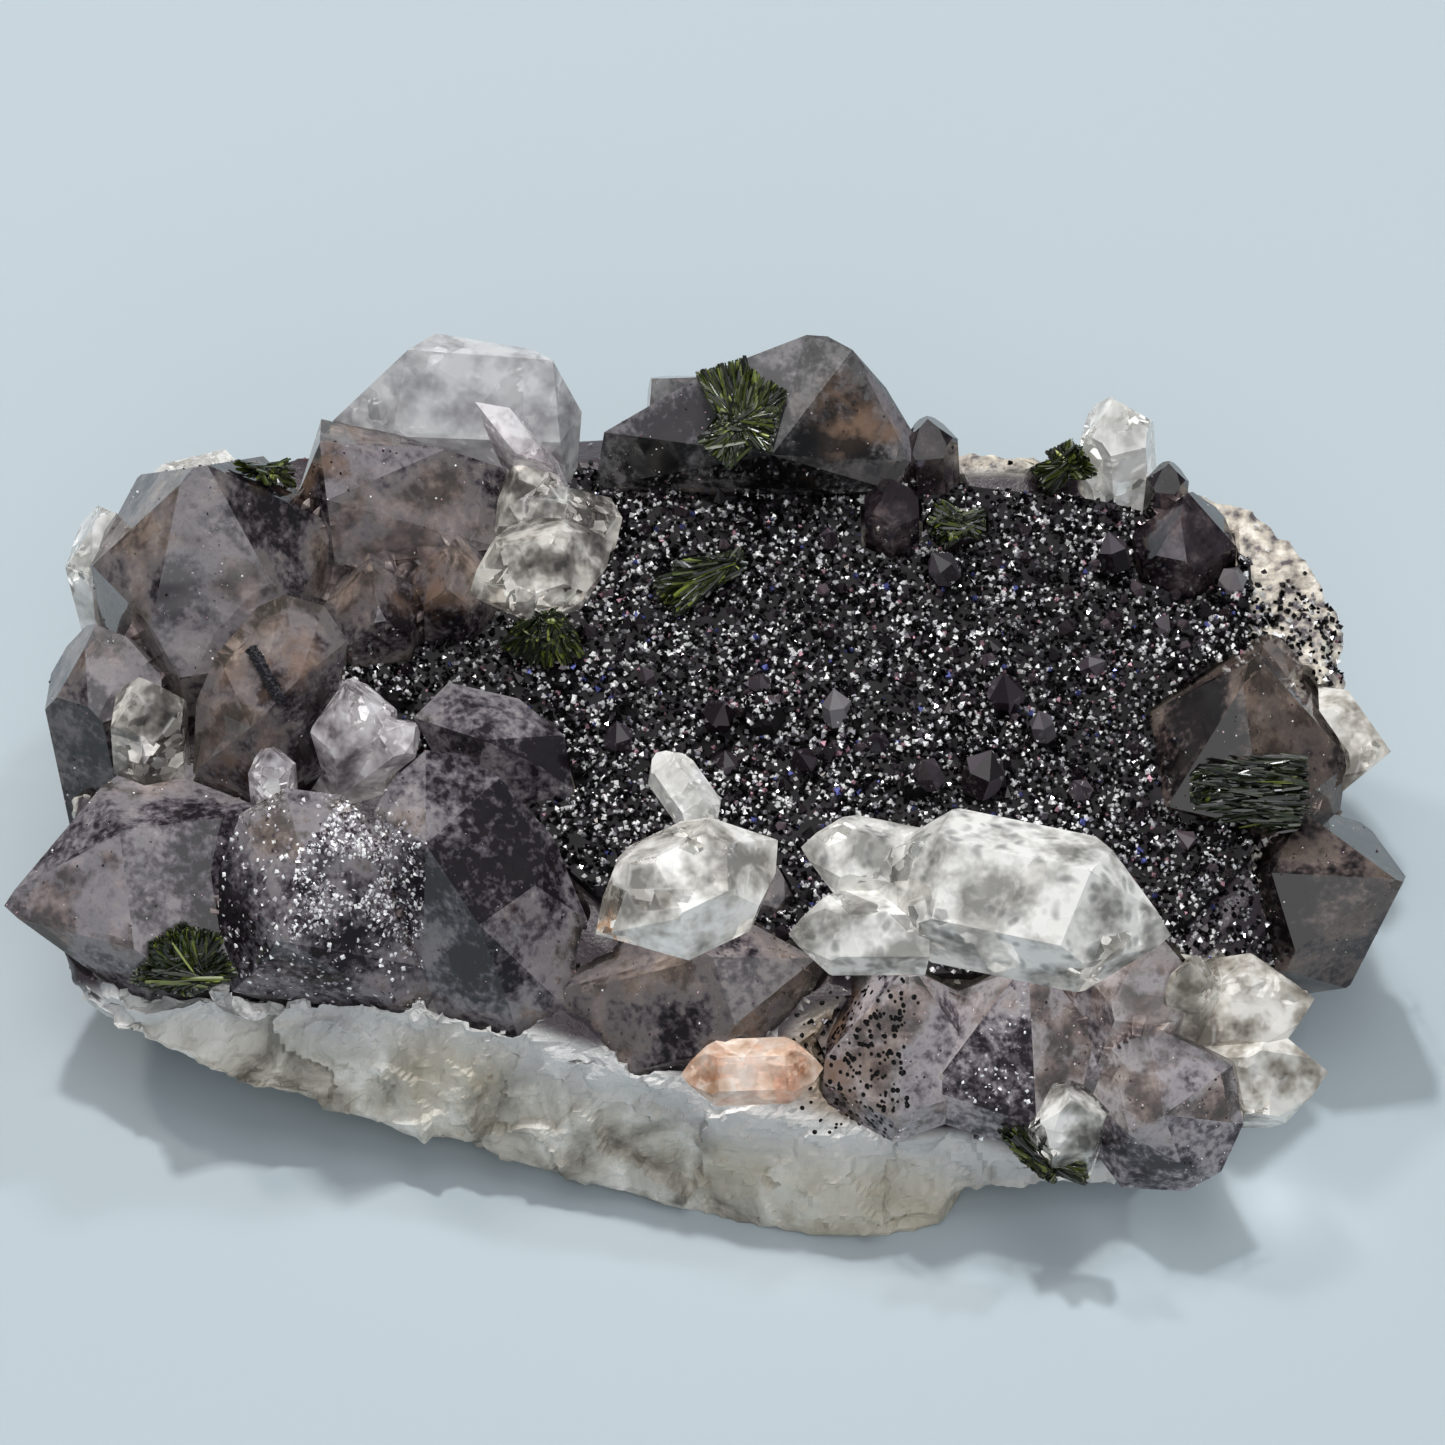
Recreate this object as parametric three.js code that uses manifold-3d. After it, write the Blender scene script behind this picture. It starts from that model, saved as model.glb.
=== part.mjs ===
// Super seven quartz: a plate of smoky amethyst and clear quartz crystals grown on broken milky quartz,
// with a field of sparkling druse in the middle and sprays of green epidote. Millimetres, +Z up. The plate
// rests on the flat of its broken base at Z 0, with the middle of its outline at X 0, Y 0.
import * as THREE from "three";
import { ConvexHull } from "three/addons/math/ConvexHull.js";
import { ConvexGeometry } from "three/addons/geometries/ConvexGeometry.js";
import { mergeVertices } from "three/addons/utils/BufferGeometryUtils.js";
import Module from "manifold-3d";

const wasm = await Module();
wasm.setup();

// The viewer looks down on the plate at this angle. A place on it is given as the viewer meets it:
// millimetres across, millimetres up the plane square to the line of sight, and the height above the table.
const VIEW_ANGLE = THREE.MathUtils.degToRad(52);
const UP_SHARE = Math.sin(VIEW_ANGLE);
const HEIGHT_SHARE = Math.cos(VIEW_ANGLE);
const TO_VIEWER = new THREE.Vector3(0, -HEIGHT_SHARE, UP_SHARE);
const GAP = 0.32; // clear space between two pieces that meet
const RHOMB_SLOPE = THREE.MathUtils.degToRad(38.2); // quartz: from a prism face to the face above it
const FIELD_HEIGHT = 19.2; // top of the milky quartz under the middle of the druse field
const FIELD_RISE = 0.1; // how much the field climbs to the back, a share of the way
const CRUST = 1.1; // thickness of the druse crust

const seen = ([across, up, height]) =>
  new THREE.Vector3(across, (up - height * HEIGHT_SHARE) / UP_SHARE, height);

// Repeatable roughness: a hash of whole numbers, smoothed between them, and three octaves of that
const hash = (x, y, z) => {
  const s = Math.sin(x * 127.1 + y * 311.7 + z * 74.7) * 43758.5453;
  return s - Math.floor(s);
};
const ease = (t) => t * t * (3 - 2 * t);
const mix = THREE.MathUtils.lerp;
const noise = (x, y, z) => {
  const [i, j, k] = [Math.floor(x), Math.floor(y), Math.floor(z)];
  const [u, v, w] = [ease(x - i), ease(y - j), ease(z - k)];
  const row = (b, c) => mix(hash(i, b, c), hash(i + 1, b, c), u);
  return 2 * mix(mix(row(j, k), row(j + 1, k), v), mix(row(j, k + 1), row(j + 1, k + 1), v), w) - 1;
};
const OCTAVES = [1, 2, 4];
const rough = (p, size) =>
  OCTAVES.reduce((sum, f) => sum + noise((p.x * f) / size, (p.y * f) / size, (p.z * f) / size) / f, 0);

// A solid from a closed geometry, and back
function solidOf(geometry) {
  const bare = geometry.clone();
  Object.keys(bare.attributes).filter((n) => n !== "position").forEach((n) => bare.deleteAttribute(n));
  const merged = mergeVertices(bare, 1e-4);
  const vertProperties = new Float32Array(merged.attributes.position.array);
  const triVerts = new Uint32Array(merged.index.array);
  return new wasm.Manifold(new wasm.Mesh({ numProp: 3, vertProperties, triVerts }));
}

function geometryOf(solid) {
  const mesh = solid.getMesh();
  const geometry = new THREE.BufferGeometry();
  geometry.setAttribute("position", new THREE.BufferAttribute(new Float32Array(mesh.vertProperties), 3));
  geometry.setIndex(new THREE.BufferAttribute(new Uint32Array(mesh.triVerts), 1));
  return geometry;
}

const cornersOf = (solid) => {
  const places = geometryOf(solid).attributes.position;
  return Array.from({ length: places.count }, (_, i) => new THREE.Vector3().fromBufferAttribute(places, i));
};

const joined = (solids) => solids.reduce((all, next) => all.add(next));
const biggest = (solid) => solid.decompose().reduce((a, b) => (b.volume() > a.volume() ? b : a));

// Closed skin over a grid of rings. Each ring has the same number of points, and the first and last are one
// point repeated.
function skin(rings) {
  const n = rings[0].length;
  const corners = [];
  const face = (a, b, c) => corners.push(a, b, c);
  for (let r = 0; r + 1 < rings.length; r++)
    for (let i = 0; i < n; i++) {
      const [a, b] = [rings[r][i], rings[r][(i + 1) % n]];
      const [c, d] = [rings[r + 1][(i + 1) % n], rings[r + 1][i]];
      if (r > 0) face(a, b, c);
      if (r + 2 < rings.length) face(a, c, d);
    }
  return new THREE.BufferGeometry().setFromPoints(corners);
}

// Crystals. Each is kept as the flat faces that bound it, so that it can also be made a little larger all
// round. A face is its outward normal and its reach, the distance from the origin along that normal. The
// corners are the places where three faces meet and no other face cuts them off.
const PARALLEL = 1e-4;
const CORNER_SLACK = 1e-5;
function fromFaces(faces, grow = 0) {
  const planes = faces.map(({ normal, reach }) => ({ normal, reach: reach + grow }));
  const corners = [];
  const cross = new THREE.Vector3();
  for (let i = 0; i < planes.length; i++)
    for (let j = i + 1; j < planes.length; j++) {
      cross.crossVectors(planes[i].normal, planes[j].normal);
      for (let k = j + 1; k < planes.length; k++) {
        const det = cross.dot(planes[k].normal);
        if (Math.abs(det) < PARALLEL) continue;
        const [first, second] = [new THREE.Vector3(), new THREE.Vector3()];
        first.crossVectors(planes[j].normal, planes[k].normal);
        second.crossVectors(planes[k].normal, planes[i].normal);
        const corner = first
          .multiplyScalar(planes[i].reach)
          .addScaledVector(second, planes[j].reach)
          .addScaledVector(cross, planes[k].reach)
          .divideScalar(det);
        if (planes.some((p) => p.normal.dot(corner) > p.reach + CORNER_SLACK)) continue;
        if (!corners.some((c) => c.distanceToSquared(corner) < CORNER_SLACK)) corners.push(corner);
      }
    }
  return solidOf(new ConvexGeometry(corners));
}

// A quartz point: six prism sides round the line from root to tip, and six faces that slope up to the tip.
// At turn 0 one side looks at the viewer. wide scales each side's distance from the middle, and cut moves
// each sloping face out by a share of the radius, so that some faces come out large and others small.
const WIDE = [1, 0.94, 1.04, 1, 0.95, 1.05];
const CUT = [0, 0.3, 0, 0.35, 0.05, 0.28];
function point({ tip, root, radius, turn = 0, wide = WIDE, cut = CUT }) {
  const [top, foot] = [seen(tip), seen(root)];
  const axis = top.clone().sub(foot).normalize();
  const front = TO_VIEWER.clone().addScaledVector(axis, -TO_VIEWER.dot(axis)).normalize();
  const faces = [{ normal: axis.clone().negate(), reach: -axis.dot(foot) }];
  for (let k = 0; k < 6; k++) {
    const out = front.clone().applyAxisAngle(axis, THREE.MathUtils.degToRad(turn + 60 * k));
    const slope = out.clone().multiplyScalar(Math.cos(RHOMB_SLOPE));
    slope.addScaledVector(axis, Math.sin(RHOMB_SLOPE));
    faces.push({ normal: out, reach: out.dot(top) + radius * wide[k] });
    faces.push({ normal: slope, reach: slope.dot(top) + radius * cut[k] * Math.sin(RHOMB_SLOPE) });
  }
  return faces;
}

// A floater, grown free in the pocket and pointed at both ends.
function floater({ tips, radius, turn = 0, wide = WIDE, cut = CUT }) {
  const near = point({ tip: tips[0], root: tips[1], radius, turn, wide, cut });
  const far = point({ tip: tips[1], root: tips[0], radius, turn, cut });
  const [start, end] = tips.map(seen);
  const middle = start.clone().add(end).divideScalar(2);
  const sides = near.filter((face, i) => i > 0);
  const sloping = far.filter((face, i) => i > 0 && i % 2 === 0);
  return [...sides, ...sloping].filter((face) => face.normal.dot(middle) < face.reach);
}

// The flat faces of the smallest convex body round some points.
const SAME_WAY = 0.9999;
function wrap(points) {
  const faces = [];
  for (const { normal, constant } of new ConvexHull().setFromPoints(points).faces) {
    const isNew = !faces.some((f) => f.normal.dot(normal) > SAME_WAY);
    if (isNew) faces.push({ normal: normal.clone(), reach: constant });
  }
  return faces;
}

// A crystal whose corners are read off one by one.
const cornered = (corners) => wrap(corners.map(seen));

// The floaters come first: what they lie on is cut clear of them.
const CRYSTALS = {
  long_clear_floater: [
    floater({
      tips: [[11.4, 3.4, 25], [35.2, -1.5, 25.5]], radius: 5.4, turn: 4,
      wide: [1, 1, 1, 1, 0.98, 1], cut: [0, 0.2, 0.1, 0.2, 0, 0.2],
    }),
    point({ tip: [6.3, 5.2, 26], root: [18, 2.8, 23.5], radius: 3, turn: 10 }),
    point({ tip: [5.3, -1.6, 24], root: [16, -1.6, 23], radius: 2.9, turn: 0 }),
  ],
  bright_clear_floater: [
    floater({
      tips: [[-9.9, -1.4, 25], [4.4, 5.4, 26]], radius: 4.5, turn: 12,
      wide: [1, 0.95, 1, 1, 1.05, 1], cut: [0, 0.3, 0, 0.3, 0.1, 0.1],
    }),
  ],
  slim_clear_floater: [floater({ tips: [[-5.2, 12.6, 25], [-0.6, 6.2, 24]], radius: 1.75, turn: 0 })],
  left_clear_floater: [
    floater({ tips: [[-20.2, 25.4, 26.5], [-8.8, 29.2, 27.5]], radius: 3.6, turn: 8 }),
    point({ tip: [-17, 32.4, 29], root: [-9.4, 30.6, 24], radius: 2.2, turn: 0 }),
    point({ tip: [-14.2, 36.6, 30], root: [-17, 30, 24], radius: 1.8, turn: 0 }),
  ],
  peach_floater: [floater({ tips: [[-3.2, -12.8, 13.8], [8, -12.4, 14.2]], radius: 2.3, turn: 0 })],
  upper_left_smoky_crystals: [
    point({
      tip: [-42.8, 33.6, 36], root: [-41.2, 20.5, 14], radius: 8.6, turn: 2,
      wide: [1.1, 1.1, 1.16, 1, 0.88, 0.82], cut: [0, 0.34, 0.5, 0.3, 0.1, 0.06],
    }),
    cornered([
      [-34.8, 25.2, 31], [-31.7, 24.3, 30], [-29.8, 21.5, 28.5], [-30.6, 17.4, 26], [-37, 24.2, 30],
      [-40.2, 20.5, 28], [-41.9, 16.7, 25], [-42.2, 11, 20.6], [-33.6, 18.4, 29.4], [-37.4, 14.6, 27.4],
      [-36.6, 8.6, 20.6], [-31.4, 11.6, 20], [-41, 9, 13], [-31, 10.4, 13], [-36, 22, 20],
    ]),
    cornered([
      [-32.2, 39.4, 30.5], [-34, 33.3, 29], [-31.6, 32.8, 31], [-32.2, 37.4, 33], [-22.2, 36.9, 31],
      [-17.4, 35.4, 28], [-17.6, 29, 25], [-31, 27.5, 26], [-35, 29, 17], [-16, 27, 17], [-30, 35, 16],
      [-16, 33, 18],
    ]),
    point({
      tip: [-28, 27.9, 28.5], root: [-27.4, 18, 14], radius: 3.9, turn: 6,
      cut: [0.5, 0, 0, 0.5, 0, 0],
    }),
    point({
      tip: [-21.6, 29.3, 29], root: [-21.4, 19, 14], radius: 3.1, turn: -8,
      cut: [0.6, 0, 0, 0.6, 0, 0],
    }),
    point({
      tip: [-50, 22.8, 25], root: [-47.4, 8.6, 8], radius: 4.6, turn: 20,
      wide: [1, 1, 1, 1, 1.1, 1],
    }),
  ],
  left_pale_crystal: [point({ tip: [-49.6, 32.2, 28], root: [-46.8, 20, 12], radius: 3.7, turn: 10 })],
  back_left_pale_crystal: [
    cornered([
      [-47.8, 33.2, 26], [-45, 35.8, 27], [-40, 37, 27], [-38.5, 35.4, 26], [-38, 31, 22], [-47, 30, 20],
      [-46, 30, 15], [-39, 30, 15], [-43, 35, 20],
    ]),
  ],
  lower_left_amethysts: [
    point({
      tip: [-57.2, 0.4, 15], root: [-36, 3, 12], radius: 8.4, turn: 0,
      wide: [0.8, 0.9, 1.05, 1, 1.15, 1.05], cut: [0, 0.1, 0, 0.2, 0, 0.1],
    }),
    cornered([
      [-34.6, 9.8, 25], [-30, 9.2, 24.4], [-38.2, 7.8, 23.4], [-25.8, 4.8, 22], [-40, 3.2, 19.6],
      [-40, -1.8, 15.4], [-39, -6.4, 11.6], [-22.6, -4.6, 14.4], [-23.6, -8.6, 11.2], [-33.4, 4.8, 24.8],
      [-34.4, -2.4, 20.6], [-29, 0.4, 20.6], [-38, 0, 8], [-26, 0, 8], [-34, -8, 7],
    ]),
    cornered([
      [-23.5, 12.8, 28], [-20.4, 12.5, 27.4], [-17.6, 10.6, 26], [-13.4, 5.9, 22], [-10.7, -0.7, 17],
      [-10.8, -9.2, 11.4], [-26.4, 10.2, 26.6], [-27.6, 7.8, 25], [-27, 4, 22.4], [-25.2, -0.2, 19],
      [-23.8, -4.8, 15.4], [-22.4, -8.6, 11.6], [-16, -11, 10.2], [-23.4, 5.4, 26.8],
      [-19.2, -1, 22.4], [-14.8, 2.1, 21.8], [-17, -7, 16], [-22, 4, 12], [-14, 0, 10], [-18, -8, 7],
    ]),
    cornered([
      [-24.6, 15.4, 23.5], [-21.8, 18.2, 25], [-16.2, 16.9, 24], [-12.6, 14, 22.4], [-11.8, 9.6, 20],
      [-19, 13.6, 25.4], [-14.6, 11.6, 22.8], [-22, 12, 14], [-13, 8, 13], [-20, 16, 16], [-20, 7, 17],
      [-15, 4, 14],
    ]),
    cornered([
      [-46, 6, 13], [-14, 7, 16], [-14, -2, 14], [-44, -2, 10], [-44, 6, 6], [-16, 4, 6], [-16, -6, 8],
      [-44, -4, 6],
    ]),
  ],
  front_smoky_crystal: [
    point({
      tip: [8, -4, 18.5], root: [-9.4, -8.8, 8.8], radius: 6.2, turn: 6,
      wide: [0.95, 1, 1, 1, 1.1, 1.05], cut: [0.2, 0, 0.1, 0.2, 0, 0.2],
    }),
    point({ tip: [4.4, 3.6, 21], root: [1, -4, 12], radius: 2, turn: 10 }),
  ],
  small_clear_crystals: [
    point({ tip: [-29.6, 17.6, 28], root: [-29.4, 10.5, 16], radius: 3.3, turn: 12 }),
    point({ tip: [-24.4, 14.6, 26], root: [-30, 10.5, 18], radius: 1.7, turn: 0 }),
  ],
  tiny_clear_crystal: [point({ tip: [-35.8, 12.6, 27], root: [-35.5, 6, 16], radius: 1.7, turn: 10 })],
  left_clear_crystal: [point({ tip: [-45.8, 18.4, 27], root: [-45.4, 7, 12], radius: 3, turn: 24 })],
  back_clear_crystal: [
    cornered([
      [-25.2, 44.9, 35.5], [-13.6, 44.1, 34], [-23, 46.3, 34], [-15.2, 45, 33], [-31.3, 39.3, 29],
      [-11.3, 40, 28], [-26.5, 38, 30], [-13, 37.5, 29], [-30, 32, 18], [-12, 32, 18], [-27.4, 42, 27],
      [-14.6, 42.6, 26], [-26, 35.4, 16], [-15, 36, 16],
    ]),
  ],
  wedge_crystal: [
    cornered([
      [-19.8, 40.7, 34], [-17, 40.2, 34.2], [-13.6, 35.6, 31], [-16.6, 36.6, 32.5], [-18.6, 37.6, 31],
      [-12, 33, 25], [-17, 34, 25], [-13, 36, 26],
    ]),
  ],
  back_smoky_crystal: [
    cornered([
      [-10.2, 34, 23], [-9.5, 38.4, 27], [-1.5, 43, 31], [6.8, 46.2, 33], [8.5, 46.1, 32.5], [10.5, 45, 32.5],
      [13.2, 42, 29], [15.3, 38.5, 27], [15.2, 36, 26.5], [13.5, 33.8, 24.5], [4, 36.5, 29], [-9, 32, 17],
      [13, 33, 17], [-7, 37.4, 18], [1, 42, 26], [9, 44, 26.4], [5, 39.6, 19], [12, 36.6, 18],
    ]),
    point({ tip: [-5.6, 42.8, 27], root: [-1, 38, 20], radius: 2.8, turn: 0 }),
  ],
  back_dark_crystal: [point({ tip: [16.6, 39.4, 29], root: [17.2, 31, 17], radius: 2, turn: 0 })],
  druse_edge_crystal: [
    point({
      tip: [13.6, 34.6, 27], root: [13.8, 27, 18], radius: 2.3, turn: 30,
      cut: [0, 0.4, 0, 0.4, 0, 0.4],
    }),
  ],
  top_right_clear_crystal: [
    point({ tip: [31.6, 41, 30], root: [32.4, 32, 18], radius: 2.7, turn: 14, wide: [1, 1, 1, 1, 1, 0.95] }),
  ],
  right_dark_crystal: [
    point({
      tip: [37.2, 33.3, 28], root: [37.2, 22, 14], radius: 3.7, turn: -18,
      cut: [0.25, 0, 0.1, 0.3, 0, 0],
    }),
    point({ tip: [36, 35.8, 27.5], root: [35.5, 30, 19], radius: 1.5, turn: 0 }),
  ],
  right_smoky_crystals: [
    point({
      tip: [41.8, 19.4, 28], root: [40.6, 7, 10], radius: 8, turn: -10,
      wide: [1, 0.92, 1, 1, 1.05, 1], cut: [0.1, 0, 0.2, 0.3, 0.05, 0],
    }),
    point({
      tip: [54, 2.4, 18], root: [42, 0.5, 8], radius: 7, turn: 12,
      wide: [0.9, 1, 1, 1, 0.95, 0.9], cut: [0.1, 0, 0.05, 0.2, 0, 0.1],
    }),
    point({ tip: [43.8, 21.6, 26], root: [43.6, 15, 16], radius: 2.4, turn: 0 }),
  ],
  right_clear_crystal: [point({ tip: [53.4, 12.6, 19], root: [43, 14, 14], radius: 3.9, turn: 0 })],
  front_right_amethysts: [
    point({
      tip: [14.8, -4.9, 21], root: [14.6, -12.4, 9.6], radius: 6.6, turn: 26,
      cut: [0, 0.1, 0.1, 0.3, 0.1, 0],
    }),
    point({
      tip: [24.2, -4.6, 21.5], root: [22.9, -12.8, 9], radius: 7.2, turn: -12,
      wide: [1, 1, 1, 1, 0.95, 0.95], cut: [0, 0, 0.2, 0.3, 0.1, 0.1],
    }),
    point({ tip: [34.6, -1.8, 23], root: [30.6, -13, 7], radius: 4.4, turn: 20 }),
    cornered([
      [33.5, -8.7, 18], [40.4, -12.1, 14.6], [41.3, -16.8, 10.4], [39.6, -20.6, 7], [36.8, -22.2, 5.2],
      [31.7, -21.9, 5], [29.6, -19.1, 6.8], [29.2, -14.8, 12], [30.8, -10.8, 16], [34.9, -16, 13.8],
      [32.2, -17.6, 11.4], [36.4, -20, 9], [34, -9, 8], [38.4, -12.4, 6],
    ]),
    cornered([
      [6, -7, 15], [34, -6, 17], [30, -15, 12], [10, -15, 12], [8, -10, 5], [34, -8, 6], [28, -17, 6],
      [12, -18, 6],
    ]),
  ],
  front_right_clear_crystals: [
    point({ tip: [46.9, -7, 16], root: [35, -9, 11], radius: 3.9, turn: 0 }),
    point({ tip: [48, -12.8, 12], root: [37, -13, 9], radius: 4, turn: 15 }),
    point({ tip: [37, -3.9, 22], root: [36.4, -10, 12], radius: 2.3, turn: 0 }),
  ],
  front_clear_crystal: [point({ tip: [27.6, -14.8, 16.4], root: [27.2, -18.6, 8], radius: 2.9, turn: 16 })],
};

// The milky quartz below. Stations run round the plate. Each gives the edge of the top, the outermost line of
// the broken side below it, the edge of the flat foot, and where the top reaches the level of the field.
const STATIONS = [
  { rim: [49.5, 5, 17], brow: [46.5, 6, 7], foot: [41, 6], level: [48, 5] },
  { rim: [50, 12, 19], brow: [46, 13, 9], foot: [38, 12], level: [48, 11.5] },
  { rim: [47.6, 18.5, 21], brow: [43, 18, 10], foot: [34, 16], level: [45.5, 18] },
  { rim: [43.5, 23.5, 21.5], brow: [38, 23, 9], foot: [29, 19.5], level: [40, 22.5] },
  { rim: [36, 26.5, 22], brow: [31, 26.5, 8], foot: [23, 22], level: [34, 25] },
  { rim: [27, 29.2, 23], brow: [23, 29.5, 8], foot: [16, 24.5], level: [27, 26] },
  { rim: [17, 30, 22], brow: [12, 32, 8], foot: [7, 27], level: [17, 27] },
  { rim: [5, 34.5, 19], brow: [1, 34, 8], foot: [-1, 27], level: [5, 28.5] },
  { rim: [-11, 34, 19], brow: [-12, 33.5, 8], foot: [-12, 26], level: [-11, 29] },
  { rim: [-25, 33, 18], brow: [-24, 31, 8], foot: [-21, 23], level: [-23, 26.5] },
  { rim: [-37, 30.5, 19.6], brow: [-35, 26, 8], foot: [-29, 18], level: [-34, 20] },
  { rim: [-47.5, 20, 15], brow: [-44, 17, 8], foot: [-34, 10], level: [-39, 13] },
  { rim: [-51, 8, 13], brow: [-49.5, 6, 8], foot: [-36.5, 2], level: [-38, 5] },
  { rim: [-52.4, -5, 12], brow: [-52.4, -8, 9], foot: [-37, -6], level: [-34, 0] },
  { rim: [-51.5, -13.4, 12.5], brow: [-52, -17, 9.2], foot: [-35, -12], level: [-30, -1] },
  { rim: [-44, -16.6, 12.5], brow: [-45, -20.6, 7.8], foot: [-33, -16.5], level: [-26, -2.4] },
  { rim: [-36, -17.6, 12.5], brow: [-36, -23.6, 6], foot: [-28, -20], level: [-22, -4] },
  { rim: [-27, -20.4, 13], brow: [-27, -25.3, 4.6], foot: [-22, -22.5], level: [-18, -7.5] },
  { rim: [-18, -22.6, 13], brow: [-18, -27.6, 3], foot: [-15, -26], level: [-14, -12] },
  { rim: [-9, -25.6, 12], brow: [-9, -29, 1.6], foot: [-8, -28.2], level: [-9, -17.5] },
  { rim: [1, -28.6, 11], brow: [1, -31.8, 1], foot: [1, -31.6], level: [1, -21] },
  { rim: [12, -30, 9.5], brow: [13, -33.4, 1], foot: [12, -33.2], level: [12, -21.5] },
  { rim: [21, -30.4, 7.5], brow: [21, -31.6, 1.4], foot: [20, -30.8], level: [21, -22] },
  { rim: [30, -29.8, 5.5], brow: [31, -31, 2], foot: [28, -28.5], level: [30, -20.5] },
  { rim: [38, -24, 9], brow: [37, -25.5, 3], foot: [34, -23], level: [37, -18.5] },
  { rim: [44.5, -14.5, 13], brow: [43, -16, 4], foot: [38.5, -14], level: [42.5, -12] },
  { rim: [48.5, -4, 16], brow: [46, -4, 5], foot: [41, -4], level: [46.5, -4] },
];
const ROUND = 58; // points round each ring
const CENTRE = new THREE.Vector3(2, -1, 0);
const BELT_SHARE = 0.45; // a ring of ledges, between the outermost line and the edge of the top
const LEDGE_LENGTH = 10;
const LEDGE_DROP = 0.4; // how far a ledge moves up or down, for each millimetre out

const fieldHeight = (x, y) => FIELD_HEIGHT + FIELD_RISE * y;
const closedCurve = (points, n) =>
  new THREE.CatmullRomCurve3(points, true, "centripetal").getPoints(n).slice(0, n);
const outwards = (p) => p.clone().sub(CENTRE).setZ(0).normalize();

function milkyQuartz() {
  const line = (pick) => closedCurve(STATIONS.map((s) => new THREE.Vector3(...pick(s))), ROUND);
  const rim = line((s) => s.rim);
  const brow = line((s) => s.brow);
  const foot = line((s) => [...s.foot, 0]);
  const level = line((s) => [...s.level, fieldHeight(...s.level)]);
  const broken = (ring, depth) =>
    ring.map((p) => {
      const spot = p.clone().addScaledVector(outwards(p), depth * rough(p, LEDGE_LENGTH));
      return spot.setZ(p.z + LEDGE_DROP * depth * rough(p, LEDGE_LENGTH / 2));
    });
  const belt = brow.map((p, i) => p.clone().lerp(rim[i], BELT_SHARE));
  const [under, over] = [foot.map(() => CENTRE.clone()), level.map(() => CENTRE.clone())];
  over.forEach((p) => p.setZ(fieldHeight(p.x, p.y)));
  return solidOf(skin([under, foot, broken(brow, 0.8), broken(belt, 1.1), broken(rim, 0.4), level, over]));
}

// The druse crust: a bed of small crystals all over the field, with larger points standing out of it
const FIELD_EDGE = [
  [46.5, 10], [44, 17], [37, 22.5], [28, 24.5], [18, 25.6], [8, 27], [-2, 27.5], [-10, 27.5], [-20, 25.5],
  [-30, 20.5], [-36.5, 13], [-36, 5.5], [-30, 1.5], [-22, -1.5], [-16, -6], [-12, -11], [-8, -15], [2, -19],
  [10, -20], [20, -20.5], [30, -18.5], [37, -15.5], [42, -9.5], [45.5, -4], [46.5, 3],
];
const FIELD_SIZE = [84, 54];
const FIELD_CELL = 3.8; // one facet of the crust
const GRAIN = 0.45; // how far single facets stand out
const SWELL = 0.3; // how far the crust swells and sinks over FIELD_SWELL
const FIELD_SWELL = 8;
const JITTER = 0.8; // sideways
const DRUSE_POINTS = [
  { at: [17.6, 28.2], radius: 1.4 },
  { at: [20.6, 12.8], radius: 2.1 },
  { at: [22.3, 19.4], radius: 1.8 },
  { at: [26.2, 14.9], radius: 1.2 },
  { at: [15.9, 11.6], radius: 1.4 },
  { at: [9.6, 16.8], radius: 1.5 },
  { at: [2.6, 17.2], radius: 1.8 },
  { at: [-8.6, 16.4], radius: 1.6 },
  { at: [31.2, 28.6], radius: 1.6 },
  { at: [-11.6, 12.4], radius: 1.3 },
  { at: [-25.5, 18.6], radius: 1.4 },
];

function crustBed() {
  const [wide, deep] = FIELD_SIZE;
  const cells = FIELD_SIZE.map((length) => Math.round(length / FIELD_CELL));
  const bed = new THREE.BoxGeometry(wide, deep, 1, ...cells, 1);
  const places = bed.attributes.position;
  const spot = new THREE.Vector3();
  for (let i = 0; i < places.count; i++) {
    spot.fromBufferAttribute(places, i);
    const isTop = spot.z > 0;
    spot.setZ(0);
    const random = (layer) => noise(spot.x * 3, spot.y * 3, layer);
    const [x, y] = [spot.x + JITTER * random(1), spot.y + JITTER * random(2)];
    const height = fieldHeight(x, y) + CRUST + GRAIN * random(3) + SWELL * rough(spot, FIELD_SWELL);
    places.setXYZ(i, isTop ? x : spot.x, isTop ? y : spot.y, isTop ? height : 0);
  }
  return solidOf(bed);
}

// A straight-sided block over the field, with its bottom a gap above the milky quartz.
function overField() {
  const outline = new THREE.Shape(FIELD_EDGE.map(([x, y]) => new THREE.Vector2(x, y)));
  const block = new THREE.ExtrudeGeometry(outline, { depth: 2 * FIELD_HEIGHT, bevelEnabled: false });
  const places = block.attributes.position;
  for (let i = 0; i < places.count; i++)
    if (places.getZ(i) < FIELD_HEIGHT) places.setZ(i, fieldHeight(places.getX(i), places.getY(i)) + GAP);
  return solidOf(block);
}

const SUNK = 0.5; // how deep a point of the crust starts below its top
const STEEPNESS = 1.3; // its height over its radius
function drusePoint({ at: [across, up], radius }, i) {
  const base = FIELD_HEIGHT + FIELD_RISE * ((up - FIELD_HEIGHT * HEIGHT_SHARE) / UP_SHARE) + SUNK;
  const rise = CRUST - SUNK + STEEPNESS * radius;
  const [leanX, leanY] = [Math.cos(i), Math.sin(i)].map((v) => (v * radius) / 2);
  return fromFaces(
    point({
      tip: [across, up, base + rise],
      root: [across + leanX, up + leanY - rise * HEIGHT_SHARE, base],
      radius: radius * 0.85,
      turn: i * 37,
    }),
  );
}

const druseCrust = () => joined([crustBed().intersect(overField()), ...DRUSE_POINTS.map(drusePoint)]);

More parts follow.
